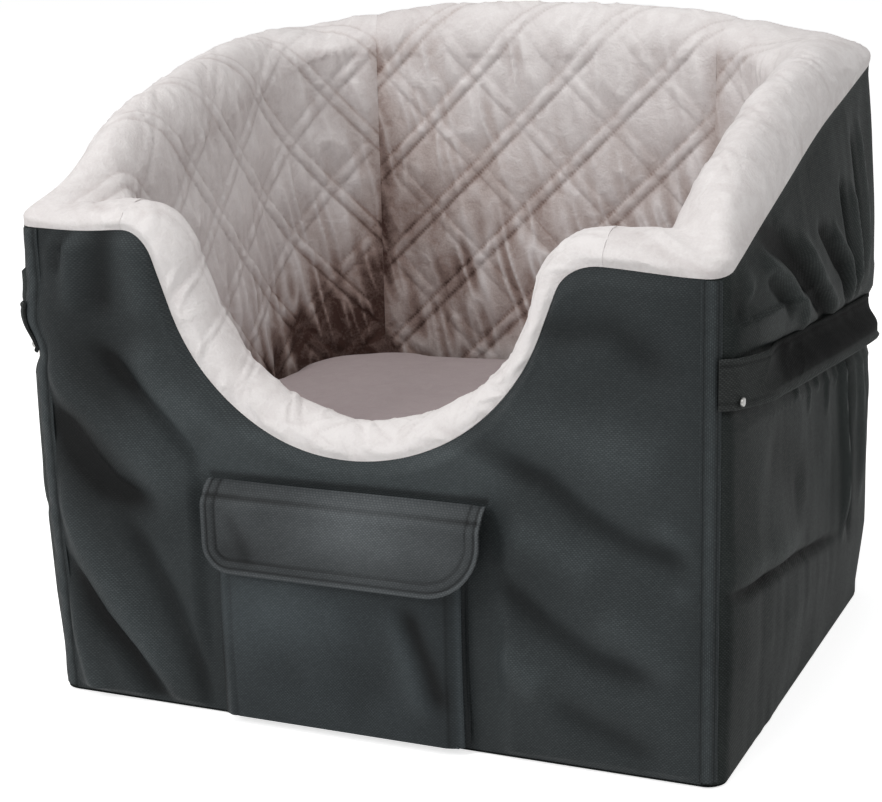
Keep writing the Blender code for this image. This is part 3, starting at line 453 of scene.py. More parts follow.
def slab(name, outlines, heights, finish):
    """A flat closed body, one outline to a height."""
    rings = np.array([np.column_stack([o, np.full(len(o), z)]) for o, z in zip(outlines, heights)])
    return skin(name, settled(rings), finish, rings[..., :2])


foam_top = CABIN_FLOOR - LINING - GAP
seat_block = slab("foam_seat_block", [cabin_outline(LINING - k) for k in (FOAM_EASE, 0, 0, FOAM_EASE)],
                  [FOAM_FOOT, FOAM_FOOT + FOAM_EASE, foam_top - FOAM_EASE, foam_top], foam_finish)
foam_block(seat_block, "foam_floor")


# Cover: charcoal polyester with a small dashed weave, cut as front, side, back and base panels and
# sewn at the corners. The front sags in a few long folds, and the sides hang fuller and are gathered
# where the side bands draw them in.

FLOAT_LONG, FLOAT_HIGH = 0.0021, 0.0011

# A brick pattern of short raised floats, each a little uneven, as a dobby weave shows
dash_weave, start, end = node_group("dash_weave", {"Place": "Vector"}, "Height")
parts = add_node(dash_weave, "SeparateXYZ", Vector=start["Place"])
up = calc(dash_weave, "DIVIDE", parts.outputs["Y"], FLOAT_HIGH)
row = calc(dash_weave, "FLOOR", up)
shifted = calc(dash_weave, "ADD", calc(dash_weave, "DIVIDE", parts.outputs["X"], FLOAT_LONG),
               calc(dash_weave, "MULTIPLY", row, 0.5))
floats = []
for value, share, power in ((shifted, 0.46, 0.5), (up, 0.5, 0.6)):
    middle = calc(dash_weave, "ABSOLUTE", calc(dash_weave, "SUBTRACT", calc(dash_weave, "FRACT", value), 0.5))
    crown = calc(dash_weave, "SUBTRACT", 1.0, calc(dash_weave, "DIVIDE", middle, share), clamp=True)
    floats.append(calc(dash_weave, "POWER", crown, power))
which = add_node(dash_weave, "CombineXYZ", X=calc(dash_weave, "FLOOR", shifted), Y=row)
uneven = add_node(dash_weave, "TexWhiteNoise", {"noise_dimensions": "2D"}, Vector=which.outputs[0])
uneven = calc(dash_weave, "ADD", calc(dash_weave, "MULTIPLY", uneven.outputs["Value"], 0.55), 0.58)
height = calc(dash_weave, "MULTIPLY", calc(dash_weave, "MULTIPLY", *floats), uneven)
dash_weave.links.new(height, end["Height"])


def cloth_place(tree):
    return add_node(tree, "UVMap", {"uv_map": "cloth"}).outputs[0]


def roughness_by(tree, shader, value, low, high, at_low, at_high):
    """Roughness that goes from at_low to at_high as the value goes from low to high."""
    rough = add_node(tree, "MapRange", Value=value, From_Min=low, From_Max=high, To_Min=at_low,
                     To_Max=at_high)
    tree.links.new(rough.outputs[0], shader.inputs["Roughness"])


def woven(name, dark, light, roughness, depth, gloss=0.12):
    """The cover's cloth, whose depth is its weave's relief. Its tone scales its colour, as painted
    shade where low and painted light where high.
    """
    material, tree, shader = new_material(name, Specular_IOR_Level=gloss)
    place = object_place(tree)
    weave = place_group(tree, dash_weave, Place=cloth_place(tree))
    level = calc(tree, "ADD", calc(tree, "MULTIPLY", weave, 0.62),
                 calc(tree, "MULTIPLY", shaded(tree, place, 14.0, 0.9), 0.42), clamp=True)
    tint = add_node(tree, "MixRGB", Fac=level, Color1=(*dark, 1), Color2=(*light, 1))
    # The tone's gain paints light and shade into the base colour
    raised = add_node(tree, "Attribute", {"attribute_name": "tone"}).outputs["Fac"]
    gain = add_node(tree, "MapRange", Value=raised, From_Min=0.0, From_Max=1.0, To_Min=0.06, To_Max=2.10)
    toned = add_node(tree, "MixRGB", {"blend_type": "MULTIPLY"}, Fac=1.0, Color1=tint.outputs[0],
                     Color2=gain.outputs[0])
    tree.links.new(toned.outputs[0], shader.inputs["Base Color"])
    roughness_by(tree, shader, weave, 0.0, 1.0, roughness + 0.15, roughness)
    thread = calc(tree, "MULTIPLY", noise(tree, place, 900.0, 2.0), 0.25)
    relief_by(tree, shader, calc(tree, "ADD", weave, thread), 0.7, depth)
    return material


front_cloth = woven("woven_front", (0.010, 0.0125, 0.0135), (0.048, 0.055, 0.057), 0.46, 0.00030)
# The side's cloth is the front's made darker: painted shade on the sides, the back and the base
side_cloth = woven("woven_side", (0.0052, 0.0062, 0.0061), (0.028, 0.032, 0.0312), 0.46, 0.00022, gloss=0.028)

COVER_BULGE, SIDE_FULLNESS, FRONT_LIFT = 0.0030, 0.0065, 0.0045
WALL_FOOT = COVER + 2 * GAP
FINE = 0.0024
FRONT_SEAM_HALF, REAR_SEAM_HALF = 0.125, 0.03       # degrees from a corner's seam to each panel's edge

# Where the front and the back start to turn to the side, in degrees round the cabin's corner
ARC_LAST = math.degrees(math.atan2(HALF_DEPTH + FRONT_FAN[1],
                                   HALF_WIDTH - FRONT_FAN[0] - COVER_FRONT_RADIUS))
REAR_ARC_LAST = math.degrees(math.atan2(HALF_DEPTH - REAR_FAN[1],
                                        HALF_WIDTH - REAR_FAN[0] - COVER_REAR_RADIUS))


def smooth(low, high, value):
    """Rises softly from 0 at the low value to 1 at the high one."""
    share = np.clip((np.asarray(value, float) - low) / (high - low), 0, 1)
    return share * share * (3 - 2 * share)


def drift(u, v, seed):
    """Soft random waves over a plane, about one to a unit, from -1 to 1."""
    grid = np.random.default_rng(seed).uniform(-1, 1, (64, 64))
    u, v = np.broadcast_arrays(u, v)
    iu, iv = np.floor(u).astype(int), np.floor(v).astype(int)
    fu, fv = u - iu, v - iv
    fu, fv = fu * fu * (3 - 2 * fu), fv * fv * (3 - 2 * fv)
    near = grid[iu % 64, iv % 64] * (1 - fu) + grid[(iu + 1) % 64, iv % 64] * fu
    far = grid[iu % 64, (iv + 1) % 64] * (1 - fu) + grid[(iu + 1) % 64, (iv + 1) % 64] * fu
    return near * (1 - fv) + far * fv


def bell(x, z, points, width, depth):
    """A fold along a line of points, fading at both ends, as a height over the cloth."""
    best = np.full(np.broadcast(x, z).shape, np.inf)
    along = np.zeros(best.shape)
    lengths = [math.dist(p, q) for p, q in zip(points, points[1:])]
    done = 0.0
    for (ax, az), (bx, bz), length in zip(points, points[1:], lengths):
        share = np.clip(((x - ax) * (bx - ax) + (z - az) * (bz - az)) / length ** 2, 0, 1)
        off = np.hypot(x - ax - share * (bx - ax), z - az - share * (bz - az))
        nearer = off < best
        best = np.where(nearer, off, best)
        along = np.where(nearer, (done + share * length) / sum(lengths), along)
        done += length
    return depth * np.exp(-(best / width) ** 2) * smooth(0, 0.24, along) * (1 - smooth(0.76, 1, along))


def edges_fade(across, first, last):
    """Fullness that dies out towards the two seams of a panel."""
    low, high = across.min(), across.max()
    return (np.sin(np.clip((across - low) / first, 0, 1) * np.pi / 2)
            * np.sin(np.clip((high - across) / last, 0, 1) * np.pi / 2))


def folded(shown, hidden):
    """A shown side and then the hidden one, going back, as closed rings."""
    return np.concatenate([shown, hidden[:, ::-1]], axis=1)


def two_sided(name, outside, inside, cloth, finish, tone=0.5):
    """A closed sheet between two rows of points, with the same cloth and tone on both."""
    tone = np.broadcast_to(np.clip(tone, 0.02, 1.0), cloth.shape[:2])
    return skin(name, settled(folded(outside, inside)), finish, folded(cloth, cloth), folded(tone, tone))


def sew(piece, node, body="shell"):
    """Puts a sheet of cloth in its body, in place of its solid, which is hidden."""
    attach(piece, body)
    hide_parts(node)


def cover_panel(name, stations, rows, stand_of, finish, place_u):
    """A panel of cloth from foot to hem, standing off the wall as stand_of gives."""
    wall = Wall(stations)
    share = np.linspace(0, 1, rows)[None, :]
    top = wall.edge - np.cos(wall.lean) * GAP
    height = WALL_FOOT + (top - WALL_FOOT) * share
    across = np.broadcast_to(place_u[:, None], height.shape)
    stand, tone = stand_of(across, height, share)
    stand = np.maximum(0.0, stand) * smooth(0, 0.012, top - height + 0.0006)
    outside, inside = wall.face(-stand, height), wall.face(COVER - stand, height)
    for layer in (outside, inside):
        layer[..., 0] += np.sin(wall.lean) * GAP * (share > 0.999)
    return two_sided(name, outside, inside, np.stack([across, height], axis=-1), finish, tone)


# Folds of the front, as places across it and up it, with their width and their depth
FRONT_FOLDS = [
    ([(-0.244, 0.204), (-0.201, 0.181), (-0.187, 0.162), (-0.172, 0.146), (-0.132, 0.132)], 0.0098, -0.0082),
    ([(-0.236, 0.242), (-0.182, 0.198), (-0.150, 0.168), (-0.112, 0.132)], 0.0120, 0.0052),
    ([(-0.182, 0.246), (-0.150, 0.210), (-0.129, 0.190), (-0.112, 0.171), (-0.090, 0.144)], 0.0064, -0.0058),
    ([(-0.152, 0.246), (-0.128, 0.210), (-0.098, 0.182)], 0.0110, 0.0042),
    ([(-0.244, 0.124), (-0.200, 0.078), (-0.186, 0.056), (-0.166, 0.034), (-0.130, -0.022)], 0.0078, -0.0080),
    ([(-0.226, 0.166), (-0.190, 0.106), (-0.166, 0.064), (-0.128, 0.004)], 0.0110, 0.0056),
    ([(-0.172, 0.142), (-0.137, 0.080), (-0.123, 0.045), (-0.096, -0.024)], 0.0085, -0.0054),
    ([(-0.222, 0.084), (-0.202, 0.036), (-0.182, -0.014)], 0.0075, 0.0046),
    ([(-0.204, 0.322), (-0.213, 0.264)], 0.0045, -0.0046),
    ([(-0.165, 0.322), (-0.169, 0.250)], 0.0080, -0.0036),
    ([(-0.188, 0.320), (-0.198, 0.274)], 0.0038, -0.0034),
    ([(-0.182, 0.322), (-0.189, 0.250)], 0.0060, 0.0032),
    ([(-0.150, 0.318), (-0.138, 0.250)], 0.0100, 0.0030),
    ([(0.090, 0.280), (0.128, 0.266), (0.160, 0.270), (0.204, 0.236)], 0.0105, -0.0036),
    ([(0.076, 0.213), (0.130, 0.206), (0.200, 0.192)], 0.0170, 0.0036),
    ([(0.070, 0.197), (0.120, 0.179), (0.145, 0.160), (0.170, 0.146), (0.222, 0.132)], 0.0080, -0.0056),
    ([(0.092, 0.150), (0.125, 0.140), (0.160, 0.122)], 0.0110, 0.0042),
    ([(0.180, 0.162), (0.203, 0.148), (0.216, 0.124)], 0.0055, 0.0044),
    ([(0.192, 0.120), (0.204, 0.118), (0.212, 0.110)], 0.0055, 0.0026),
    ([(0.068, 0.130), (0.120, 0.090), (0.150, 0.072), (0.200, 0.058)], 0.0085, -0.0052),
    ([(0.086, 0.074), (0.100, 0.064), (0.122, 0.048)], 0.0110, 0.0042),
    ([(0.150, 0.102), (0.175, 0.086), (0.202, 0.062)], 0.0100, 0.0030),
    ([(0.118, 0.046), (0.150, 0.030), (0.192, 0.012)], 0.0090, -0.0034),
]
FLAP_SEAM = 0.1625


def front_stand(x, z, share):
    """The front's fullness, flat behind the pocket and the flap, and its tone of painted light and shade."""
    full = COVER_BULGE * np.sin(np.pi * share) ** 0.8 * edges_fade(x, 0.10, 0.10)
    pocket = smooth(-0.118, -0.106, x) * (1 - smooth(0.084, 0.098, x)) * (1 - smooth(0.160, 0.192, z))
    near_edge = smooth(0, 0.02, share) * edges_fade(x, 0.02, 0.02)
    folds = sum(bell(x, z, *fold) for fold in FRONT_FOLDS) * (1 - pocket) * near_edge
    slow = 0.0022 * drift(x / 0.055 + 3, z / 0.060, 5) + 0.0006 * drift(x / 0.018, z / 0.024, 6)
    lift = FRONT_LIFT * (1 - pocket) * near_edge
    # Painted light over the flap, a painted shade line along the flap's seam, where no groove is modelled,
    # and painted fold shadow at the left, darker again towards the left end
    over_flap = ridge(z, 0.178, 0.014) * (1 - smooth(0.07, 0.12, np.abs(x + 0.01)))
    groove = ridge(z, FLAP_SEAM, 0.0022) * (1 - smooth(0.092, 0.094, np.abs(x + 0.0095)))
    left_dark = 0.28 * ridge(x, -0.182, 0.030) * ridge(z, 0.190, 0.055) + 0.16 * (1 - smooth(-0.19, -0.14, x))
    # The tone paints shade in the folds' valleys and light on their crests, and a highlight on the ridge left
    # of the middle; it is a little lighter towards the right end
    tone = (0.53 + 64 * folds + 45 * slow + over_flap
            + 0.46 * ridge(x, -0.116, 0.028) * ridge(z, 0.190, 0.026)
            - left_dark - 0.45 * groove + 0.06 * smooth(0.10, 0.16, x))
    return full + folds + slow * (1 - 0.9 * pocket) * near_edge + lift, tone


right_flat = [front_corner(-d) for d in spread(90, ARC_LAST + FRONT_SEAM_HALF, 2.2)]
front_stations = mirrored(right_flat)[:-1] + front_run(FINE) + right_flat[1:]
front_panel = cover_panel("cover_panel_front", front_stations, 120, front_stand, front_cloth,
                          np.array([s[0] for s in front_stations]))
sew(front_panel, "cover_front")

BAND_WIDTH, BAND_THICKNESS, BAND_STANDOFF = 0.030, 0.0018, 0.0095
BAND_FRONT_HEIGHT, BAND_REAR_HEIGHT = 0.244, 0.2075


def band_height(y):
    share = np.minimum(1.0, (y + HALF_DEPTH) / DEPTH)
    return BAND_FRONT_HEIGHT + (BAND_REAR_HEIGHT - BAND_FRONT_HEIGHT) * share


# Folds of the right side, as places along it and up it, with their width and their depth
SIDE_FOLDS = [
    ([(-0.140, 0.328), (-0.079, 0.302), (-0.047, 0.281), (-0.011, 0.260), (0.040, 0.232)], 0.0080, -0.0072),
    ([(-0.126, 0.314), (-0.109, 0.298), (-0.079, 0.283), (-0.057, 0.264), (-0.035, 0.236)], 0.0060, 0.0038),
    ([(-0.119, 0.295), (-0.088, 0.274), (-0.072, 0.258)], 0.0050, -0.0028),
    ([(-0.052, 0.305), (-0.040, 0.296), (-0.005, 0.267), (0.048, 0.234)], 0.0055, 0.0040),
    ([(-0.010, 0.304), (0.054, 0.265), (0.084, 0.230)], 0.0055, -0.0048),
    ([(0.030, 0.300), (0.038, 0.287), (0.065, 0.268), (0.092, 0.230)], 0.0050, 0.0034),
    ([(0.052, 0.324), (0.072, 0.281), (0.106, 0.232)], 0.0045, -0.0042),
    ([(0.076, 0.320), (0.084, 0.297), (0.099, 0.266), (0.112, 0.230)], 0.0050, 0.0032),
    ([(0.092, 0.350), (0.112, 0.290), (0.125, 0.230)], 0.0050, -0.0038),
    ([(0.112, 0.360), (0.130, 0.300), (0.140, 0.232)], 0.0060, 0.0028),
    ([(-0.160, 0.313), (-0.152, 0.302), (-0.142, 0.288)], 0.0080, 0.0024),
    ([(-0.178, 0.304), (-0.170, 0.292), (-0.162, 0.276)], 0.0060, -0.0030),
    ([(-0.240, 0.132), (-0.145, 0.111), (-0.098, 0.105), (-0.051, 0.098), (-0.005, 0.089), (0.090, 0.072)],
     0.0038, -0.0040),
    ([(-0.230, 0.148), (-0.145, 0.127), (-0.098, 0.119), (-0.010, 0.104)], 0.0100, 0.0024),
    ([(0.064, 0.240), (0.074, 0.180), (0.078, 0.150), (0.086, 0.060)], 0.0048, 0.0040),
    ([(0.080, 0.240), (0.093, 0.180), (0.097, 0.148), (0.106, 0.052)], 0.0058, -0.0040),
    ([(0.112, 0.230), (0.128, 0.165), (0.138, 0.074)], 0.0062, 0.0034),
    ([(-0.118, 0.190), (-0.070, 0.166), (-0.018, 0.136)], 0.0200, -0.0020),
]
# Gathers that hang from the band's lower edge: place along it and length
STREAKS = [(-0.048, 0.014), (-0.018, 0.030), (0.004, 0.018), (0.027, 0.038), (0.050, 0.022), (0.106, 0.060),
           (0.146, 0.070)]


def side_stand(seed, folds):
    def stand(y, z, share):
        """A side's fullness over and under the band that draws it in, and its tone of painted light and
        shade.
        """
        band = band_height(y)
        off = z - band
        below = (z - WALL_FOOT) / (band - BAND_WIDTH - WALL_FOOT)
        form = np.interp(off, [-0.030, -0.020, -0.010, 0.008, 0.012, 0.019, 0.032],
                         [0.90, 0.50, 0.20, 0.20, 0.70, 1.35, 1.50])
        form = np.where(off < -0.030, np.interp(below, [0, 0.3, 0.65, 1], [0, 0.85, 1.0, 0.8]), form)
        form = np.where(off > 0.036, 1.45 * np.sin(np.clip((1 - share) / 0.30, 0, 1) * np.pi / 2), form)
        from_seam = y - y.min()
        fade = edges_fade(y, 0.050, 0.030) * smooth(0.0062, 0.0150, from_seam)
        creases = sum(bell(y, z, *fold) for fold in folds) * smooth(0.004, 0.020, np.abs(off)) * fade
        streaks = np.zeros_like(z)
        for place, length in STREAKS:
            reach = np.clip((band - 0.016 - z) / length, 0, 1)
            streaks += (ridge(y, place + 0.12 * (band - z), 0.0038) * np.sin(np.pi * (0.1 + 0.9 * reach))
                        * (z < band - 0.012))
        slow = (0.0010 * drift(y / 0.040, z / 0.055, seed)
                + 0.0003 * drift(y / 0.010 + z * 8, z / 0.070, seed + 1))
        # Painted shadow lines under the band's lower edge and over its upper one
        band_edges = ridge(off, -0.0172, 0.0020) + 0.6 * ridge(off, 0.0172, 0.0022)
        # The tone paints light near the front seam and on the gathers, shade and light across the creases,
        # and is darker towards the foot
        tone = (0.60 + 0.35 * (1 - smooth(0.008, 0.024, from_seam)) + 150 * creases
                + 0.20 * streaks * fade + 70 * slow - 0.42 * band_edges
                - 0.08 * (1 - smooth(0.07, 0.17, z)) + 0.02 * smooth(0.26, 0.32, z))
        return (SIDE_FULLNESS * form + 0.0020 * streaks + slow) * fade + 1.25 * creases, tone
    return stand


corner_first = [front_corner(-d) for d in spread(ARC_LAST - FRONT_SEAM_HALF, 0, 3.0)]
side_straight = [side(y) for y in spread(FRONT_FAN[1], REAR_FAN[1] - GAP, FINE)]
corner_last = [rear_corner(d) for d in spread(0.1, REAR_ARC_LAST - REAR_SEAM_HALF, 1.4)]
side_stations = corner_first + side_straight[1:] + corner_last
turns = np.cumsum([0.0] + [math.dist(a[:2], b[:2]) for a, b in zip(side_stations, side_stations[1:])])
along_side = turns - turns[len(corner_first)] + side_straight[1][1]
left_folds = [([(y * 0.9 + 0.01, z) for y, z in line], width, depth * 0.8)
              for line, width, depth in SIDE_FOLDS]
for word, stations, seed, folds, places in (
        ("right", side_stations, 11, SIDE_FOLDS, along_side),
        ("left", mirrored(side_stations), 23, left_folds, along_side[::-1])):
    panel = cover_panel("cover_panel_" + word, stations, 150, side_stand(seed, folds), side_cloth, places)
    sew(panel, "cover_" + word)


def back_stand(x, z, share):
    full = COVER_BULGE * np.sin(np.pi * share) ** 0.8 * edges_fade(x, 0.10, 0.10)
    zip_line = np.exp(-((z - 0.050) / 0.022) ** 4)
    slow = 0.0016 * drift(x / 0.050, z / 0.090, 31) + 0.0008 * drift(x / 0.014 + z * 5, z / 0.080, 32)
    slow = (slow + 0.0010) * (1 - zip_line) * edges_fade(x, 0.02, 0.02) * smooth(0, 0.03, share)
    # The tone is lighter where the cloth stands out and darker where it sinks: painted light and shade
    return full + slow, 0.48 + 90 * slow


rear_part = [rear_corner(d) for d in spread(REAR_ARC_LAST + REAR_SEAM_HALF, 90, 1.4)]
rear_straight = [back(x) for x in spread(REAR_FAN[0], -REAR_FAN[0], FINE)]
rear_stations = rear_part[:-1] + rear_straight + mirrored(rear_part)[1:]
back_panel = cover_panel("cover_panel_back", rear_stations, 130, back_stand, side_cloth,
                         np.array([-s[0] for s in rear_stations]))
sew(back_panel, "cover_back")


def cover_outline(inset):
    return both_sides([(HALF_WIDTH - radius + (radius - inset) * math.cos(a),
                        turn * (HALF_DEPTH - radius) + (radius - inset) * math.sin(a))
                       for turn, radius, first in ((-1, COVER_FRONT_RADIUS, -90), (1, COVER_REAR_RADIUS, 0))
                       for a in np.radians(spread(first, first + 90, 9))])


base_panel = slab("cover_panel_base", [cover_outline(inset) for inset in (0.0015, 0.0003, 0.0004)],
                  [0.0, 0.0007, COVER], side_cloth)
sew(base_panel, "cover_base")


# Corner seams: the two front corners have their edges turned over, laid on the front panel and
# topstitched twice, which leaves a flat doubled strip with a soft ridge.

SEAM_FLAT, SEAM_WIDE, SEAM_RIDGE = 0.0030, 0.0120, 0.0005
ARC_CENTRE = (HALF_WIDTH - COVER_FRONT_RADIUS, -HALF_DEPTH + COVER_FRONT_RADIUS)


def grid_of(down, across):
    """The two coordinates of a grid, as arrays of its full shape."""
    return np.broadcast_arrays(down[:, None], across[None, :])


def ring_of(shown, hidden, keep):
    """A shown side and, going back the other way, some rows of the hidden side behind it."""
    rows = np.unique(np.linspace(0, hidden.shape[1] - 1, keep).astype(int))[::-1]
    return np.concatenate([shown, hidden[:, rows]], axis=1)


def seam_layer(rise, across, off, turn):
    """Points of a corner's strip, which lies flat on the front and then goes round the corner."""
    gone = across * SEAM_WIDE - SEAM_FLAT
    angle = np.maximum(0.0, gone) / COVER_FRONT_RADIUS
    reach = COVER_FRONT_RADIUS + off
    return np.dstack([turn * (ARC_CENTRE[0] + np.minimum(0.0, gone) + reach * np.sin(angle)),
                      ARC_CENTRE[1] - reach * np.cos(angle), rise])


for word, turn in (("left", -1), ("right", 1)):
    rise, across = grid_of(spread(0.004, FRONT_TOP - 0.0008, 0.0022), np.linspace(0, 1, 21))
    hem = 0.0008 * np.sqrt(np.sin(np.pi * np.clip(across, 0.02, 0.98)))
    rows = ridge(across, 0.20, 0.06) + ridge(across, 0.82, 0.06)
    pucker = (0.0004 * np.sin(rise / 0.0026) * np.sin(np.pi * across)
              + 0.0004 * drift(rise / 0.012, across, 3 + turn))
    outside = seam_layer(rise, across, GAP + 0.0003 + hem - SEAM_RIDGE * rows * 0.6 + pucker, turn)
    inside = seam_layer(rise, across, GAP * 0.5, turn)
    # Painted shade along the two sunk rows of stitches and painted light on the ridge between them
    tone = 0.55 - 0.30 * rows + 0.25 * ridge(across, 0.52, 0.16)
    cloth = np.stack([outside[..., 2], outside[..., 0]], axis=-1)
    strip = skin("corner_strip_" + word, settled(ring_of(outside, inside, 3)), front_cloth,
                 ring_of(cloth, cloth, 3), ring_of(tone, tone, 3))
    sew(strip, "corner_seam_" + word)


# Lining: light plush on thin wadding, quilted in diamonds by double rows of stitches. It rolls over
# the foam's rim, where it is left plainer, and is joined to the cover's top edge all round.

QUILT_PITCH = 0.0483    # from pair to pair of rows
PAIR_HALF = 0.0043      # from the middle of a pair to a row
PUFF = 0.0031


def quilt(along, down, weights, phase):
    """Height of the wadding between crossed double rows, from 0 on a row to 1, and the way to a row."""
    height = np.ones(along.shape)
    near_row = np.full(along.shape, np.inf)
    for slanted, weight, start in zip((along + down, along - down), weights, phase):
        line = slanted / math.sqrt(2) + start
        off = np.abs((line + QUILT_PITCH / 2) % QUILT_PITCH - QUILT_PITCH / 2)
        wide = np.clip((off - PAIR_HALF) / (QUILT_PITCH / 2 - PAIR_HALF), 0, 1)
        inner = np.sqrt(np.clip(1 - (off / PAIR_HALF) ** 2, 0, 1))
        puff = np.where(off > PAIR_HALF, np.sin(np.pi / 2 * wide) ** 0.42, 0.72 * inner ** 0.7)
        height = height * (1 - weight * (1 - puff))
        near_row = np.minimum(near_row, np.abs(off - PAIR_HALF) + 0.004 * (1 - weight))
    return height, near_row


def plush_finish(name, tones):
    """Plush whose colour follows the tone on the mesh, from deep in a seam to full on a crown. On the
    lining, its low tones are painted shade and its high ones painted light.
    """
    material, tree, shader = new_material(name, Roughness=0.92, Sheen_Weight=0.10, Sheen_Roughness=0.45,
                                          Specular_IOR_Level=0.1)
    place = object_place(tree)
    nap = noise(tree, place, 600.0, 3.0, Roughness=0.65)
    brushed = noise(tree, place, 80.0, 4.0, Distortion=1.2)
    # The tone picks the colour from the ramp, which paints light and shade on the lining
    raised = add_node(tree, "Attribute", {"attribute_name": "tone"}).outputs["Fac"]
    uneven = calc(tree, "ADD", centred(tree, brushed, 0.36),
                  centred(tree, shaded(tree, place, 26.0, 1.0), 0.10))
    uneven = calc(tree, "ADD", uneven, centred(tree, nap, 0.22))
    ramp = add_node(tree, "ValToRGB", Fac=calc(tree, "ADD", raised, uneven, clamp=True))
    points = ramp.color_ramp.elements
    for place_on_ramp in np.linspace(0, 1, len(tones))[1:-1]:
        points.new(float(place_on_ramp))
    for point, colour in zip(points, tones):
        point.color = (*colour, 1)
    tree.links.new(ramp.outputs["Color"], shader.inputs["Base Color"])
    relief_by(tree, shader, calc(tree, "ADD", nap, calc(tree, "MULTIPLY", brushed, 1.6)), 0.55, 0.0008)
    return material


# The ramp runs from a deep brown, painted shade for the deep places of the cabin, to the plush's light colour
# on the rim
lining_plush = plush_finish("light_plush", [(0.070, 0.038, 0.031), (0.30, 0.222, 0.197), (0.52, 0.452, 0.430),
                                            (0.68, 0.635, 0.625), (0.82, 0.785, 0.775)])
ANGLES = np.linspace(0, math.pi, 46)
STITCH = 0.0017
HIDDEN_ROWS = 26


def lining_panel(name, stations, pleats, weights, phase, climb, shade=lambda across, deep: 0.0):
    """A panel from the cover's edge over the rim to the cabin's floor. pleats are the widths of the
    pleats at its two seams, weights and phase are the strength and place of the two crossing rows,
    climb is how far they go up the rim and how strong, and shade is painted light and shade added to
    its tone."""
    wall = Wall(stations)
    foot = CABIN_FLOOR - LINING
    share = np.linspace(0, 1, round(float((wall.edge - foot).max()) / STITCH) + 1)[None, 1:]
    height = wall.edge + (foot - wall.edge) * share
    angles = np.broadcast_to(ANGLES, (len(stations), len(ANGLES)))
    wall_ones, wall_zeros = np.ones_like(height), np.zeros_like(height)
    roll = (np.pi - angles) * (wall.thick / 4 + wall.rise / 2)
    down = REAR_TOP - np.hstack([wall.edge + roll, height])
    across = np.broadcast_to(wall.travel, down.shape)
    deep = np.hstack([np.zeros_like(roll), wall.edge - height])
    around = np.hstack([angles, np.pi * wall_ones])

    puffed, near_row = quilt(across, down, weights, phase)
    on_rim = smooth(climb[0] * np.pi, climb[1] * np.pi, angles)
    rim_rows = climb[2] * on_rim + (1 - climb[2]) * smooth(0.86, 1.0, angles / np.pi) * on_rim
    strength = np.hstack([rim_rows, smooth(CABIN_FLOOR + 0.020, CABIN_FLOOR + 0.050, height)])
    lean = across + 0.25 * down
    gather = 1 - np.abs(drift(lean / 0.0075 + 0.8 * drift(across / 0.05, down / 0.05, 1), down / 0.040, 2))
    coarse = 1 - np.abs(drift(lean / 0.015 + 5, down / 0.055, 7))
    patch = 0.5 + 0.5 * drift(across / 0.05, down / 0.05, 3)
    wrinkle = 1 - np.abs(drift(across / 0.011 + 1.5 * np.sin(around), around / 1.1, 4))
    lump = drift(across / 0.030, around / 1.3, 5)
    rim_part = np.hstack([1 - on_rim * 0.55, wall_zeros])
    on_wall = np.hstack([smooth(0.80, 1.0, angles / np.pi), wall_ones])

    stand = PUFF * (puffed * strength
                    + 0.45 * (1 - strength) * np.hstack([np.ones_like(on_rim), 0.6 * wall_ones]))
    stand = stand + 0.0028 * on_wall * puffed * (gather ** 2 - 0.35) * (0.25 + patch)
    stand = stand + 0.0015 * on_wall * (coarse ** 3 - 0.3) * puffed
    stand = stand + 0.0019 * rim_part * (wrinkle ** 4 - 0.2) + 0.0013 * rim_part * lump
    stand = np.maximum(0.0, stand) * np.hstack([smooth(0.0, 0.10, angles / np.pi), wall_ones])
    pleat = np.zeros_like(stand)
    for reach, edge in zip(pleats, (across.min(), across.max())):
        if reach:
            off = np.abs(across - edge) / reach
            stand = stand * (0.16 + 0.84 * np.sin(np.clip(off, 0, 1) * np.pi / 2))
            pleat = np.maximum(pleat, ridge(off, 0, 0.55))

    shown = np.concatenate([wall.rim(angles, -stand[:, :len(ANGLES)]),
                            wall.face(wall.thick + stand[:, len(ANGLES):], height)], axis=1)
    hidden = np.concatenate([wall.rim(angles, np.full(angles.shape, LINING)),
                             wall.face(wall.thick - LINING, height)], axis=1)
    # The tone is painted shade: darker down the walls than on the rim and darker the deeper down the cabin,
    # darker along the stitched rows and where the wadding sinks between them; shade adds painted light and
    # shade of its own
    tone = (0.91 - 0.07 * on_wall - 0.30 * smooth(-0.01, 0.12, deep) - 0.18 * smooth(0.10, 0.26, deep)
            + shade(across, deep) - strength * (0.19 * ridge(near_row, 0, 0.0011) + 0.10 * (1 - puffed)))
    # Painted light and shade across the wrinkles and gathers, stronger deep down, and on the rim's wrinkles
    # and lumps; painted shade in the pleats at the seams
    sunk = 0.80 + 1.2 * smooth(0.06, 0.20, deep)
    tone = (tone + on_wall * 0.32 * sunk * (gather ** 2 - 0.42) * (0.3 + patch)
            + 0.08 * on_wall * (coarse ** 3 - 0.3))
    tone = tone - 0.16 * rim_part * (1 - smooth(0.0, 0.5, wrinkle)) + 0.05 * rim_part * lump
    tone = np.clip(tone - 0.26 * pleat * on_wall, 0.02, 1.0)
    cloth = np.stack([across, down], axis=-1)
    return skin(name, settled(ring_of(shown, hidden, HIDDEN_ROWS)), lining_plush,
                ring_of(cloth, cloth, HIDDEN_ROWS), ring_of(tone, tone, HIDDEN_ROWS))


def sew_lining(piece, word):
    sew(piece, "lining_" + word)


front_lining_run = front_run(STITCH)
for end, turn in ((0, -1), (-1, 1)):
    x, *others, travel = front_lining_run[end]
    front_lining_run[end] = (x + turn * 0.0005, *others, travel + turn * 0.0005)
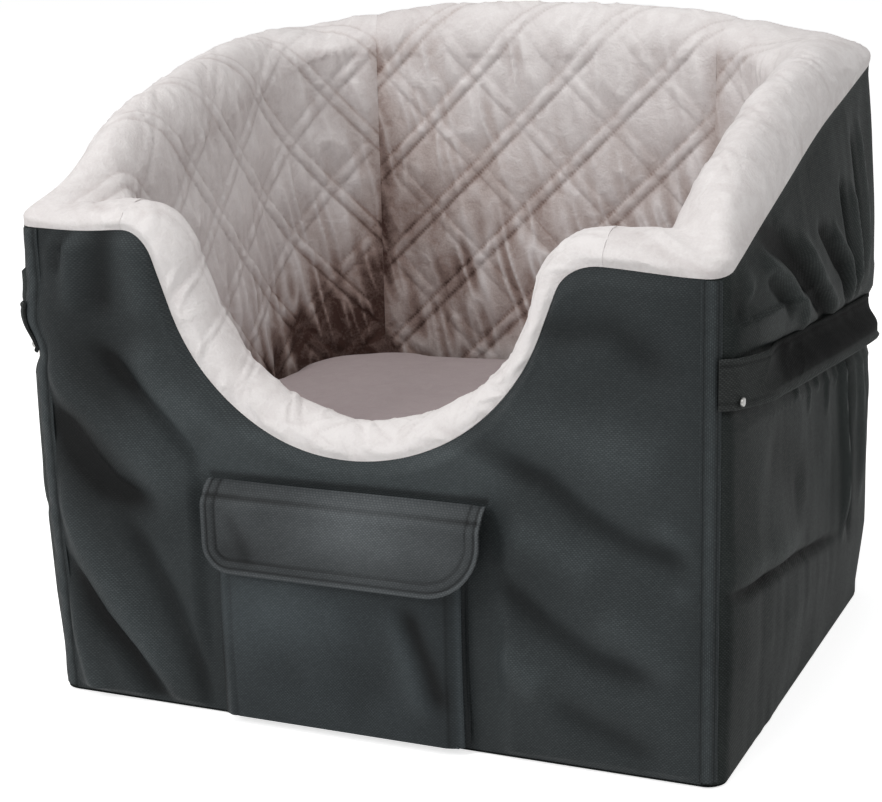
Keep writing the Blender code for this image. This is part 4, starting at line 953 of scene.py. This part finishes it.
# The front's lining gets a little painted light on its tone
front_lining = lining_panel("lining_panel_front", front_lining_run, (0, 0), (0.8, 0.8), (0.010, 0.030),
                            (0.05, 0.38, 0.85), lambda across, deep: 0.10)
sew_lining(front_lining, "front")

SEAM_DEGREES = 70.6     # direction of the lining's seam in each rear corner
LINING_SEAM_HALF = 0.02
wall_side = side_run(STITCH)
wall_side += [rear_corner(d)
              for d in spread(0.1, SEAM_DEGREES - LINING_SEAM_HALF, math.degrees(STITCH / 0.092))]
right_lining = lining_panel("lining_panel_right", wall_side, (0, 0.014), (0.65, 1.0), (0.006, 0.014),
                            (0.22, 0.70, 0.75))
left_wall = mirrored(wall_side)
left_end = left_wall[-1][8]


def left_shade(across, deep):
    """Painted light, lighter than the other walls, and painted shade low in its rear corner."""
    from_front = left_end - across
    return (smooth(-0.01, 0.05, deep) * (0.36 - 0.30 * smooth(0.18, 0.32, from_front))
            - 0.70 * smooth(0.10, 0.23, deep) * smooth(0.08, 0.25, from_front))


left_lining = lining_panel("lining_panel_left", left_wall, (0.016, 0), (1.0, 0.80), (0.0326, 0.0252),
                           (0.16, 0.60, 0.85), left_shade)
for panel, word in ((right_lining, "right"), (left_lining, "left")):
    sew_lining(panel, word)

# The rising rows pass the back wall where height less x is 0.2885 m
rising = (MIDDLE_TRAVEL - REAR_TOP + 0.2885) / math.sqrt(2)
# The back's lining gets a little painted light, and painted shade growing towards its left end
back_lining = lining_panel(
    "lining_panel_back", back_run(STITCH, SEAM_DEGREES + LINING_SEAM_HALF), (0.014, 0.016), (0.7, 1.0),
    (0.012, -rising), (0.20, 0.62, 0.9),
    lambda across, deep: 0.06 - 0.20 * smooth(MIDDLE_TRAVEL - 0.04, MIDDLE_TRAVEL + 0.16, across))
sew_lining(back_lining, "back")

floor_cloth = slab("lining_panel_floor", [cabin_outline(-0.0031 - k) for k in (0.001, 0.0, 0.001)],
                   [CABIN_FLOOR - LINING, CABIN_FLOOR - 0.001, CABIN_FLOOR], lining_plush)
sew(floor_cloth, "lining_floor")


# Cushion: a loose seat pad of mauve-grey plush on soft filling, boxed at the side with one seam
# round it, crowned by its filling and rounded over at its edge.

CUSHION_FOOT = CABIN_FLOOR + GAP
CUSHION_SEAM, CUSHION_EDGE, CUSHION_CROWN = 0.140, 0.166, 0.178
CUSHION_CLEARANCE = 0.0042
SWELLING = 0.0045       # how far the filling may push the cloth
cushion_plush = plush_finish("mauve_plush", [(0.12, 0.088, 0.088), (0.34, 0.282, 0.284), (0.42, 0.36, 0.362)])

# Heights of the pad's outlines, with how far each is drawn in
levels = [(CUSHION_FOOT + 0.001, 0.020), (CUSHION_FOOT + 0.004, 0.011), (CUSHION_FOOT + 0.014, 0.0055),
          (CUSHION_SEAM, 0.0050), (CUSHION_EDGE - 0.008, 0.0075), (CUSHION_EDGE - 0.002, 0.016)]
crown_rise = CUSHION_CROWN - 0.003 - CUSHION_EDGE
levels += [(CUSHION_EDGE + crown_rise * math.sin(k * math.pi / 2), 0.018 + 0.105 * k)
           for k in (0.2, 0.5, 0.85)]
pad_plan = cabin_outline(-CUSHION_CLEARANCE)
pad_reach = np.array([HALF_WIDTH - WALL - CUSHION_CLEARANCE, HALF_DEPTH - WALL - CUSHION_CLEARANCE])
pad_rings = np.array([np.column_stack([pad_plan * (1 - inset / pad_reach), np.full(len(pad_plan), z)])
                      for z, inset in levels])
pad = skin("cushion_pad", settled(pad_rings), cushion_plush)
bpy.ops.object.select_all(action="DESELECT")
bpy.context.view_layer.objects.active = pad
pad.select_set(True)
remesh = pad.modifiers.new("even_cloth", "REMESH")
remesh.mode = "VOXEL"
remesh.voxel_size = 0.005
bpy.ops.object.modifier_apply(modifier=remesh.name)
before = np.empty(len(pad.data.vertices) * 3)
pad.data.vertices.foreach_get("co", before)
cloth = pad.modifiers.new("filling", "CLOTH")
cloth.settings.use_pressure = True
cloth.settings.uniform_pressure_force = 4.0
cloth.settings.effector_weights.gravity = 0.0
for number in range(1, 21):
    bpy.context.scene.frame_set(number)
bpy.ops.object.modifier_apply(modifier=cloth.name)
bpy.context.scene.frame_set(1)

# The swelling is kept small, the underside flat and the pad clear of the walls
after = np.empty(before.size)
pad.data.vertices.foreach_get("co", after)
before, after = before.reshape(-1, 3), after.reshape(-1, 3)
move = after - before
far = np.linalg.norm(move, axis=1, keepdims=True)
after = before + move * np.minimum(1.0, SWELLING / np.maximum(far, 1e-9))
radial = after[:, :2] / np.array([0.18, 0.14])
near_side = np.linalg.norm(radial, axis=1, keepdims=True) > 0.85
after[:, :2] -= radial * (0.0016 * ridge(after[:, 2:], CUSHION_SEAM, 0.0028)) * near_side
x, y = after[:, 0], after[:, 1]
top = after[:, 2] > CUSHION_EDGE - 0.004
wave = 0.0011 * drift(x / 0.055, y / 0.05, 81) + 0.0005 * drift(x / 0.02, y / 0.02, 82)
after[top, 2] += wave[top]
after[:, 2] = np.maximum(after[:, 2], CUSHION_FOOT)
pad.data.vertices.foreach_set("co", after.ravel())
layer = pad.data.attributes.new("tone", "FLOAT", "POINT")
layer.data.foreach_set("value", 0.75 - 0.5 * ridge(after[:, 2], CUSHION_SEAM, 0.002))
pad.data.shade_smooth()
finer = pad.modifiers.new("fine_cloth", "SUBSURF")
finer.levels = finer.render_levels = 1
bpy.ops.object.modifier_apply(modifier=finer.name)
pad.data.shade_smooth()
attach(pad, "cushion")
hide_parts("seat_cushion")


# Pocket: a bellows pocket of the cover's cloth on the front panel, with folded side gussets, a
# turned hem round its face and a mouth that the flap covers.

FRONT_FACE = -HALF_DEPTH - COVER_BULGE - GAP
POCKET_LEFT, POCKET_RIGHT, POCKET_BOTTOM, POCKET_MOUTH, POCKET_DEPTH = -0.096, 0.067, 0.005, 0.142, 0.0065
POCKET_FACE = FRONT_FACE - POCKET_DEPTH
GUSSET_FLARE, GUSSET_INSET = 0.0035, 0.001
POCKET_STEP = 0.0022
pocket_cloth = woven("woven_pocket", (0.016, 0.020, 0.022), (0.070, 0.083, 0.089), 0.42, 0.00028)


def pocket_profile(z):
    share = np.clip((z - POCKET_BOTTOM) / (POCKET_MOUTH - POCKET_BOTTOM), 0, 1)
    return POCKET_FACE - 0.0015 * np.sin(np.pi * share)


def front_sheet(name, x, z, y, thickness, finish, tone=0.5):
    """A sheet that faces the front, its outer face at depth y and its inner one behind it."""
    return two_sided(name, np.dstack([x, y, z]), np.dstack([x, y + thickness, z]), np.stack([x, z], axis=-1),
                     finish, tone)


x, z = grid_of(spread(POCKET_LEFT, POCKET_RIGHT, 0.0018), spread(POCKET_BOTTOM, POCKET_MOUTH, POCKET_STEP))
edge_off = np.minimum(x - POCKET_LEFT, POCKET_RIGHT - x)
under_mouth = 1 - smooth(0.100, 0.112, z)
turned = 0.0007 * ridge(edge_off, 0.0035, 0.0028) - 0.0004 * ridge(edge_off, 0.0085, 0.0012)
rolled = (0.0042 * (1 - smooth(0.0, 0.010, POCKET_RIGHT - x))
          + 0.0028 * (1 - smooth(0.0, 0.007, x - POCKET_LEFT)))
soft = (0.0011 * drift(x / 0.045 + 2, z / 0.050, 91) + 0.0004 * drift(x / 0.015, z / 0.020, 92)
        + bell(x, z, [(0.030, 0.098), (0.044, 0.060), (0.056, 0.020)], 0.007, -0.0014)
        + bell(x, z, [(0.020, 0.096), (0.034, 0.056), (0.046, 0.012)], 0.007, 0.0012))
soft = soft * smooth(0, 0.012, edge_off) * smooth(0, 0.02, z - POCKET_BOTTOM) * under_mouth
y = pocket_profile(z) - COVER - turned * under_mouth + np.minimum(rolled, 0.0042) - np.maximum(soft, -0.0012)
# Painted shade along a fold's valley, a painted highlight high on the left of the face, painted light and
# shade over the soft bumps, a painted highlight on the rolled right edge and painted shade lines at the hem
# and the left edge; darker towards the right
fold_shade = bell(x, z, [(0.026, 0.102), (0.034, 0.086), (0.046, 0.058), (0.057, 0.022)], 0.008, 0.20)
tone = (0.34 + 0.34 * ridge(x, -0.045, 0.055) * ridge(z, 0.080, 0.026) - fold_shade - 0.08 * smooth(0.02, 0.06, x)
        + 90 * soft + 0.26 * ridge(POCKET_RIGHT - x, 0.002, 0.0016) - 0.14 * ridge(edge_off, 0.0085, 0.0012)
        - 0.35 * ridge(x, POCKET_LEFT, 0.0016))
pocket = front_sheet("pocket_face", x, z, y, COVER, pocket_cloth, tone)
sew(pocket, "pocket_front")

for word, start_x, turn in (("right", POCKET_RIGHT - GUSSET_INSET, 1),
                            ("left", POCKET_LEFT + GUSSET_INSET, -1)):
    z, t = grid_of(spread(POCKET_BOTTOM, POCKET_MOUTH, POCKET_STEP), np.linspace(0, 1, 15))
    near = pocket_profile(z) + GAP + 0.0044
    y = near + (FRONT_FACE - near) * t
    soft = 0.0005 * drift(z / 0.022 + 3 * turn, t * 1.2, 97) * smooth(0.002, 0.02, z - POCKET_BOTTOM)
    flare = GUSSET_FLARE * np.sin(np.minimum(1.0, 1.6 * t) * np.pi / 2)
    x = start_x + turn * (flare - 0.0010 * np.sin(np.pi * t) + soft)
    # The gussets' low tone is painted shade inside the pocket's sides
    gusset = two_sided("pocket_side_" + word, np.dstack([x, y, z]), np.dstack([x - turn * COVER, y, z]),
                       np.stack([y, z], axis=-1), pocket_cloth, 0.10)
    sew(gusset, "pocket_gusset_" + word)

bottom_in = GUSSET_INSET + COVER + 2 * GAP
x, y = grid_of(spread(POCKET_LEFT + bottom_in, POCKET_RIGHT - bottom_in, 0.0040),
               np.linspace(POCKET_FACE + GAP, FRONT_FACE, 6))
arched = np.sin(np.pi * (y - POCKET_FACE) / POCKET_DEPTH).clip(0)
lower = POCKET_BOTTOM + 0.0003 * (1 + drift(x / 0.03, y / 0.01, 98)) * arched
pocket_floor = two_sided("pocket_floor", np.dstack([x, y, lower]), np.dstack([x, y, lower + COVER * 0.8]),
                         np.stack([x, y], axis=-1), pocket_cloth)
sew(pocket_floor, "pocket_bottom")


# Flap: a doubled piece of the same cloth, bound at its edge, turned under at its top, where it is
# sewn to the front, and stitched round twice. Its right corner is cut in a wider arc than its left.

FLAP_LEFT, FLAP_RIGHT, FLAP_TOP, FLAP_DROP, FLAP_THICKNESS = -0.102, 0.083, 0.160, 0.057, 0.0020
FLAP_LEFT_RADIUS, FLAP_RIGHT_RADIUS = 0.018, 0.038
FLAP_FOOT = FLAP_TOP - FLAP_DROP
CLOSURE_THICKNESS = 0.0008
FLAP_REST = float(pocket_profile(FLAP_FOOT)) - COVER - 2 * CLOSURE_THICKNESS - 4 * GAP
# The flap's cloth is the front's with lighter colours: painted light on the flap
flap_cloth = woven("woven_flap", (0.038, 0.043, 0.046), (0.140, 0.152, 0.158), 0.42, 0.00028)


def flap_profile(z):
    share = np.minimum(1.0, (FLAP_TOP - z) / (FLAP_TOP - POCKET_MOUTH - 0.003))
    return FRONT_FACE + (FLAP_REST - FRONT_FACE) * np.sin(np.maximum(share, 0) * np.pi / 2)


def flap_foot(x):
    low = np.full(x.shape, FLAP_FOOT)
    for radius, off in ((FLAP_LEFT_RADIUS, x - FLAP_LEFT), (FLAP_RIGHT_RADIUS, FLAP_RIGHT - x)):
        from_arc = np.clip(radius - off, 0, radius)
        curve = FLAP_FOOT + radius - np.sqrt(np.maximum(radius ** 2 - from_arc ** 2, 0))
        low = np.where(off < radius, curve, low)
    return low


def flap_inside(x, z):
    """Distance in from the flap's left, lower and right edge."""
    best = np.minimum(np.minimum(x - FLAP_LEFT, FLAP_RIGHT - x), z - FLAP_FOOT)
    for radius, cx, sign in ((FLAP_LEFT_RADIUS, FLAP_LEFT + FLAP_LEFT_RADIUS, -1),
                             (FLAP_RIGHT_RADIUS, FLAP_RIGHT - FLAP_RIGHT_RADIUS, 1)):
        cz = FLAP_FOOT + radius
        corner = ((x - cx) * sign > 0) & (z < cz)
        best = np.where(corner, radius - np.hypot(x - cx, z - cz), best)
    return best


ends = [FLAP_LEFT + FLAP_LEFT_RADIUS * (1 - math.cos(a)) for a in np.linspace(0, math.pi / 2, 16)]
ends += list(spread(FLAP_LEFT + FLAP_LEFT_RADIUS, FLAP_RIGHT - FLAP_RIGHT_RADIUS, 0.0014)[1:-1])
ends += [FLAP_RIGHT - FLAP_RIGHT_RADIUS * (1 - math.sin(a)) for a in np.linspace(0, math.pi / 2, 30)]
x, t = grid_of(np.array(ends), np.linspace(0, 1, 48))
z = FLAP_TOP - t * (FLAP_TOP - flap_foot(x))
inside_by, from_top = flap_inside(x, z), FLAP_TOP - z
hem = 0.0007 * (1 - smooth(0.0080, 0.0095, inside_by)) - 0.0006 * ridge(inside_by, 0.0088, 0.0009)
binding = 0.0006 * (1 - smooth(0.0012, 0.0026, inside_by)) - 0.0005 * ridge(inside_by, 0.0030, 0.0006)
top_fold = 0.0009 * ridge(from_top, 0.003, 0.0028) - 0.0005 * ridge(from_top, 0.0080, 0.0012)
soft = 0.0016 * drift(x / 0.040 + 5, z / 0.035, 95) + 0.0004 * drift(x / 0.012, z / 0.014, 96)
soft = soft * smooth(0.004, 0.016, inside_by) * smooth(0.002, 0.012, from_top)
y = flap_profile(z) - FLAP_THICKNESS - hem - binding - top_fold - np.maximum(soft, -0.0010)
# Painted highlight across the flap's middle, painted light and shade over its soft bumps, painted shade along
# a dent that has no relief, a painted highlight on the binding and painted shade lines by the binding, the
# hem and the top fold
dent_shade = bell(x, z, [(-0.084, 0.146), (-0.076, 0.124), (-0.070, 0.106)], 0.0055, 1.0)
tone = (0.20 + 0.38 * ridge(x, 0.010, 0.055) * ridge(z, 0.138, 0.026) + 60 * soft - 0.10 * dent_shade
        + 0.20 * ridge(inside_by, 0.0014, 0.0012) - 0.20 * ridge(inside_by, 0.0032, 0.0008)
        - 0.16 * ridge(inside_by, 0.0088, 0.0010) - 0.20 * ridge(from_top, 0.0080, 0.0014))
flap = front_sheet("pocket_flap_cloth", x, z, y, FLAP_THICKNESS, flap_cloth, tone)
sew(flap, "pocket_flap", body="flap")


# Closure: a strip of hook tape on the flap's inside meets a strip of loop tape on the pocket, both
# 20 mm wide, woven nylon, sewn on round their edges.

hook_tape, tree, shader = new_material("hook_tape", Roughness=0.55, Specular_IOR_Level=0.35)
place = cloth_place(tree)
colour_by(tree, shader, shaded(tree, place, 60.0, 0.8), (0.012, 0.013, 0.014), (0.030, 0.031, 0.033))
hooks = add_node(tree, "TexVoronoi", Vector=place, Scale=620.0, Randomness=0.25).outputs["Distance"]
relief_by(tree, shader, hooks, 0.9, 0.0009, inward=True)

loop_tape, tree, shader = new_material("loop_tape", Roughness=0.95, Sheen_Weight=0.15, Specular_IOR_Level=0.1)
loops = noise(tree, cloth_place(tree), 900.0, 5.0, Distortion=2.0)
colour_by(tree, shader, loops, (0.008, 0.009, 0.010), (0.042, 0.044, 0.046))
relief_by(tree, shader, loops, 0.8, 0.0010)

STRIP_LEFT, STRIP_RIGHT, STRIP_LOW, STRIP_HIGH = -0.078, 0.040, 0.106, 0.126
STRIP_STEP = 0.0010
HOOK_FRONT = FLAP_REST + GAP
LOOP_FRONT = HOOK_FRONT + CLOSURE_THICKNESS + GAP
x, z = grid_of(spread(STRIP_LEFT, STRIP_RIGHT, STRIP_STEP), spread(STRIP_LOW, STRIP_HIGH, STRIP_STEP))
rim_off = np.minimum(np.minimum(x - STRIP_LEFT, STRIP_RIGHT - x), np.minimum(z - STRIP_LOW, STRIP_HIGH - z))
sewn = 0.00022 * ridge(rim_off, 0.0020, 0.0005)
for name, near, finish, body, node, under in (
        ("hook_tape_flap", HOOK_FRONT + np.zeros_like(sewn), hook_tape, "flap", "hook_strip",
         "pocket_flap_cloth"),
        ("loop_tape_pocket", LOOP_FRONT + sewn, loop_tape, "shell", "loop_strip", "pocket_face")):
    tape = front_sheet(name, x, z, near, CLOSURE_THICKNESS - sewn, finish)
    sew(tape, node, body=body)


# Side bands: a folded strip of the side cloth each side, sewn in at the front seam and left loose
# from there round the rear corner. The car's belt passes behind it, and a rivet holds its front end.

BAND_SEWN, BAND_START, BAND_LEAVES, BAND_END_X = 0.0016, -HALF_DEPTH + 0.0045, 0.055, 0.150
BAND_STAND = COVER_BULGE + GAP + BAND_STANDOFF
BAND_STEP = 0.0026
# The band's cloth is the side's with lighter colours: painted light where its tone stays high
band_cloth = woven("woven_band", (0.007, 0.0076, 0.0076), (0.048, 0.051, 0.050), 0.55, 0.00022, gloss=0.010)


def band_stations():
    """The band's way round from the front seam, as places with the direction that its cloth faces."""
    arc_x, arc_y = HALF_WIDTH - COVER_REAR_RADIUS, HALF_DEPTH - COVER_REAR_RADIUS
    reach = COVER_FRONT_RADIUS + BAND_SEWN
    path = []
    for y in [*spread(-HALF_DEPTH + 0.0006, ARC_CENTRE[1], BAND_STEP / 2),
              *spread(ARC_CENTRE[1], arc_y, BAND_STEP)[1:]]:
        rise = min(1.0, max(0.0, y - BAND_START) / BAND_LEAVES)
        faces = -math.asin(max(0.0, ARC_CENTRE[1] - y) / reach)
        out = (BAND_STAND - BAND_SEWN) * math.sin(rise * math.pi / 2)
        path.append((ARC_CENTRE[0] + reach * math.cos(faces) + out, y, faces))
    radius = COVER_REAR_RADIUS + BAND_STAND
    for a in np.radians(spread(0, 90, 4))[1:]:
        path.append((arc_x + radius * math.cos(a), arc_y + radius * math.sin(a), a))
    path += [(x, HALF_DEPTH + BAND_STAND, math.pi / 2) for x in spread(arc_x, BAND_END_X, BAND_STEP)[1:]]
    return np.array(path)


path = band_stations()
plan, angle = path[:, None, :2], path[:, 2]
out = np.stack([np.cos(angle), np.sin(angle)], axis=-1)[:, None, :]
gone = np.concatenate([[0], np.cumsum(np.hypot(*np.diff(path[:, :2], axis=0).T))])
travelled, t = grid_of(gone - np.interp(BAND_START, path[:80, 1], gone[:80]), np.linspace(-1, 1, 33))
high = band_height(path[:, 1])[:, None] + t * (BAND_WIDTH / 2 + 0.0004)
loose = smooth(0.02, 0.09, travelled) * (1 - smooth(0.345, 0.375, travelled))
cup = -0.0072 * loose * smooth(-0.45, 0.55, t) + 0.0010 * loose * ridge(t, -0.86, 0.12)
hems = 0.0005 * ridge(np.abs(t), 0.90, 0.07) - 0.0004 * ridge(np.abs(t), 0.74, 0.05)
lap = (1 - smooth(0.0, 0.012, travelled)) + smooth(0.402, 0.414, travelled)
drawn = -0.0046 * ridge(travelled, 0.362, 0.028) * (1 - 0.25 * t)
thick = BAND_THICKNESS * np.sqrt(np.clip(1 - (np.abs(t) - 0.9).clip(0) ** 2 / 0.0101, 0.02, 1))
# Painted shade over the upper part of the band's loose middle, where it cups in, painted light on its lower
# hem there, and painted shade lines inside its hems; its flat ends keep a high tone, painted light
core = smooth(0.015, 0.085, travelled) * (1 - smooth(0.345, 0.40, travelled))
tone = (0.84 - 0.78 * core * smooth(-0.74, -0.46, t) + 0.30 * core * (1 - smooth(-0.78, -0.66, t))
        - 0.28 * ridge(np.abs(t), 0.72, 0.05))
for word, turn in (("left", -1), ("right", 1)):
    fine = 1 - np.abs(drift(travelled / 0.022 - t * 1.1, t * 0.7, 103 + turn))
    creases = (0.0005 * drift(travelled / 0.016 + t * 1.3, t * 1.4 + 4, 101 + turn)
               + 0.0006 * fine ** 3 * (1 - smooth(0.10, 0.16, travelled)))
    off = (cup + drawn + creases * (1 - lap)) * (1 - lap) + BAND_THICKNESS / 2
    outside, inside = (np.dstack([(plan + out * depth[..., None]) * (turn, 1), high])
                       for depth in (off + thick / 2 + hems, off - thick / 2))
    band = two_sided("side_band_cloth_" + word, outside, inside, np.stack([travelled, high], axis=-1),
                     band_cloth, np.clip(tone, 0.03, 1.0))
    sew(band, "side_band_" + word)


# Rivets: small domes of plated zinc, a little uneven in their polish, that hold the bands' front
# ends. Their solids stay as they are.

plated_zinc, tree, shader = new_material("plated_zinc", Metallic=1.0)
place = object_place(tree)
scuffs = noise(tree, place, 380.0, 4.0, Roughness=0.7)
colour_by(tree, shader, shaded(tree, place, 120.0, 0.9), (0.24, 0.237, 0.23), (0.46, 0.455, 0.44))
roughness_by(tree, shader, scuffs, 0.3, 0.7, 0.22, 0.42)
relief_by(tree, shader, scuffs, 0.25, 0.0001)


def carry_over(nodes, finish):
    """Solids kept as they are, with their finish."""
    for node in nodes:
        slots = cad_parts[node].data.materials
        slots.clear()
        slots.append(finish)


carry_over(("band_rivet_left", "band_rivet_right"), plated_zinc)


# Back strap: two lengths of 25 mm polyester webbing, sewn with a boxed cross under the bands' ends,
# that meet at a side-release buckle across the middle of the back.

STRAP_HALF, STRAP_THICK = 0.0125, 0.0014
STRAP_Y, STRAP_Z = HALF_DEPTH + BAND_STAND - GAP - STRAP_THICK, BAND_REAR_HEIGHT
RIB_PITCH, CHEVRON_HALF = 0.0011, 0.0021

# Close ribs in chevrons
belt_webbing, tree, shader = new_material("belt_webbing", Sheen_Weight=0.05, Specular_IOR_Level=0.25)
place = cloth_place(tree)
parts = add_node(tree, "SeparateXYZ", Vector=place)
fold = calc(tree, "PINGPONG", parts.outputs["Y"], CHEVRON_HALF)
slant = calc(tree, "FRACT", calc(tree, "DIVIDE", calc(tree, "ADD", parts.outputs["X"], fold), RIB_PITCH))
rib = calc(tree, "SINE", calc(tree, "MULTIPLY", slant, math.pi))
level = calc(tree, "ADD", calc(tree, "MULTIPLY", rib, 0.6),
             calc(tree, "MULTIPLY", shaded(tree, place, 45.0, 0.8), 0.4), clamp=True)
colour_by(tree, shader, level, (0.006, 0.0065, 0.007), (0.036, 0.038, 0.040))
roughness_by(tree, shader, rib, 0.0, 1.0, 0.75, 0.5)
relief_by(tree, shader, rib, 0.8, 0.0004)

for word, x_from, x_to in (("left", -BAND_END_X - 0.022, -0.0343), ("right", 0.0040, BAND_END_X + 0.022)):
    x, a = grid_of(spread(x_from, x_to, 0.0014), np.linspace(0, 2 * math.pi, 41)[:-1])
    up = STRAP_HALF * np.sign(np.sin(a)) * np.abs(np.sin(a)) ** 0.35
    out = np.sign(np.cos(a)) * np.abs(np.cos(a)) ** 0.5 * STRAP_THICK / 2
    out = out * (1 - 0.12 * ridge(np.abs(up), 0.0105, 0.0006))
    far = np.minimum(np.abs(x - x_from), np.abs(x_to - x))
    wave = 0.0001 * drift(x / 0.03, up / 0.02, 111) * smooth(0.012, 0.03, far)
    rings = np.dstack([x, STRAP_Y + STRAP_THICK / 2 + out + wave, STRAP_Z + up])
    strap = skin("strap_webbing_" + word, rings, belt_webbing, np.stack([x, up], axis=-1))
    sew(strap, "strap_" + word)

bonded_thread, tree, shader = new_material("bonded_thread", Roughness=0.55, Specular_IOR_Level=0.35)
twist = noise(tree, object_place(tree), 1500.0, 2.0)
colour_by(tree, shader, twist, (0.012, 0.012, 0.013), (0.050, 0.051, 0.053))
relief_by(tree, shader, twist, 0.5, 0.0002)


def bevel_active(offset, segments, finish):
    """Rounds all edges of the active object and gives it its finish."""
    bpy.ops.object.mode_set(mode="EDIT")
    bpy.ops.mesh.select_all(action="SELECT")
    bpy.ops.mesh.bevel(offset=offset, segments=segments, affect="EDGES")
    bpy.ops.object.mode_set(mode="OBJECT")
    bpy.context.active_object.data.materials.append(finish)
    return bpy.context.active_object


def copied(first, move):
    copy = bpy.data.objects.new(first.name, first.data.copy())
    bpy.context.scene.collection.objects.link(copy)
    copy.data.transform(move)
    return copy


def joined(copies, name):
    bpy.ops.object.select_all(action="DESELECT")
    for copy in copies:
        copy.select_set(True)
    bpy.context.view_layer.objects.active = copies[0]
    bpy.ops.object.join()
    bpy.context.active_object.name = name
    return bpy.context.active_object


# The boxed cross that sews each strap's end to the band: one short stitch of thick thread, copied
STITCH_LONG, STITCH_PITCH, THREAD = 0.0024, 0.0031, 0.00036
BOX_HALF_WIDE, BOX_HALF_HIGH, BOX_IN = 0.0078, 0.0085, 0.0110
THREAD_Y = HALF_DEPTH + BAND_STAND + BAND_THICKNESS + 0.00025
bpy.ops.object.select_all(action="DESELECT")
bpy.ops.mesh.primitive_cylinder_add(vertices=8, radius=THREAD, depth=STITCH_LONG,
                                    rotation=(0, math.pi / 2, 0))
bpy.ops.object.transform_apply(location=False, rotation=True, scale=False)
first_stitch = bevel_active(THREAD * 0.7, 2, bonded_thread)
corners = [(-BOX_HALF_WIDE, -BOX_HALF_HIGH), (BOX_HALF_WIDE, -BOX_HALF_HIGH), (BOX_HALF_WIDE, BOX_HALF_HIGH),
           (-BOX_HALF_WIDE, BOX_HALF_HIGH), (-BOX_HALF_WIDE, -BOX_HALF_HIGH)]
rows = [*zip(corners, corners[1:]), (corners[0], corners[2]), (corners[1], corners[3])]
for word, turn in (("left", -1), ("right", 1)):
    stitches = []
    for (ax, az), (bx, bz) in rows:
        length = math.hypot(bx - ax, bz - az)
        slope = Matrix.Rotation(-math.atan2(bz - az, bx - ax), 4, "Y")
        for at in spread(STITCH_PITCH / 2, length - STITCH_PITCH / 2, STITCH_PITCH):
            px, pz = ax + (bx - ax) * at / length, az + (bz - az) * at / length
            place = Matrix.Translation((turn * (BAND_END_X + BOX_IN) + px, THREAD_Y, STRAP_Z + pz))
            stitches.append(copied(first_stitch, place @ slope))
    sewing = joined(stitches, "strap_stitching_" + word)
    sewing.data.shade_smooth()
    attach(sewing, "shell")
bpy.data.objects.remove(first_stitch, do_unlink=True)


# Buckle: a side-release buckle moulded in black acetal, a socket and a two-pronged insert. Its
# solids stay as they are.

def moulded_plastic(name, dark, light):
    """Moulded plastic with a fine spark-eroded grain, rubbed smoother in patches."""
    material, tree, shader = new_material(name, Specular_IOR_Level=0.45)
    place = object_place(tree)
    rubbed = shaded(tree, place, 70.0, 1.0)
    colour_by(tree, shader, rubbed, dark, light)
    roughness_by(tree, shader, rubbed, 0.2, 0.8, 0.36, 0.52)
    relief_by(tree, shader, noise(tree, place, 1400.0, 3.0, Roughness=0.6), 0.35, 0.0001)
    return material


buckle_plastic = moulded_plastic("moulded_acetal", (0.010, 0.010, 0.011), (0.022, 0.022, 0.024))
carry_over(("buckle_socket", "buckle_insert"), buckle_plastic)


# Zip: a coil zip across the foot of the back, where the foam goes in. Two herringbone tapes are sewn
# to the panel, the coil's two rows mesh in the middle, and a plated slider with a pull runs on them.

ZIP_HEIGHT, ZIP_HALF, TAPE_WIDE, TAPE_THICK = 0.050, 0.199, 0.012, 0.0008
TAPE_Y = HALF_DEPTH + COVER_BULGE * 0.55 + GAP
ZIP_STITCH = 0.0024
x, off = grid_of(spread(-ZIP_HALF, ZIP_HALF, 0.0022), np.linspace(GAP, TAPE_WIDE + GAP, 17))
sewn = 0.00030 * ridge(off, 0.0085, 0.0007) * (0.55 + 0.45 * np.cos(x / ZIP_STITCH * 2 * math.pi))
thick = TAPE_THICK - sewn - 0.0002 * smooth(0.0112, 0.0123, off)
cloth = np.stack([x, off], axis=-1)
for word, sign in (("upper", 1), ("lower", -1)):
    outside, inside = (np.dstack([x, TAPE_Y + level, ZIP_HEIGHT + sign * off])
                       for level in (thick, np.zeros_like(thick)))
    tape = skin("zip_tape_cloth_" + word, folded(outside, inside), belt_webbing, folded(cloth, cloth))
    sew(tape, "zip_tape_" + word)

COIL_PITCH, COIL_HALF, COIL_THICK = 0.0019, 0.0025, 0.0018
COIL_Y = TAPE_Y + TAPE_THICK + GAP
coil_nylon = moulded_plastic("coil_nylon", (0.012, 0.012, 0.013), (0.030, 0.031, 0.033))
bpy.ops.object.select_all(action="DESELECT")
bpy.ops.mesh.primitive_cube_add(size=1.0,
                                location=(0, COIL_Y + COIL_THICK / 2, ZIP_HEIGHT + COIL_HALF * 0.44),
                                scale=(COIL_PITCH * 0.46, COIL_THICK, COIL_HALF * 1.12))
bpy.ops.object.transform_apply(location=True, rotation=False, scale=True)
first_tooth = bevel_active(0.00036, 1, coil_nylon)
places = spread(-ZIP_HALF + 0.004, ZIP_HALF - 0.004, COIL_PITCH / 2)
teeth = [copied(first_tooth, Matrix.Translation((x, 0, -0.88 * COIL_HALF * (number % 2))))
         for number, x in enumerate(places)]
coil = joined(teeth, "zip_coil")
bpy.data.objects.remove(first_tooth, do_unlink=True)
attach(coil, "shell")
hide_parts("zip_chain")
carry_over(("zip_slider", "zip_pull"), plated_zinc)
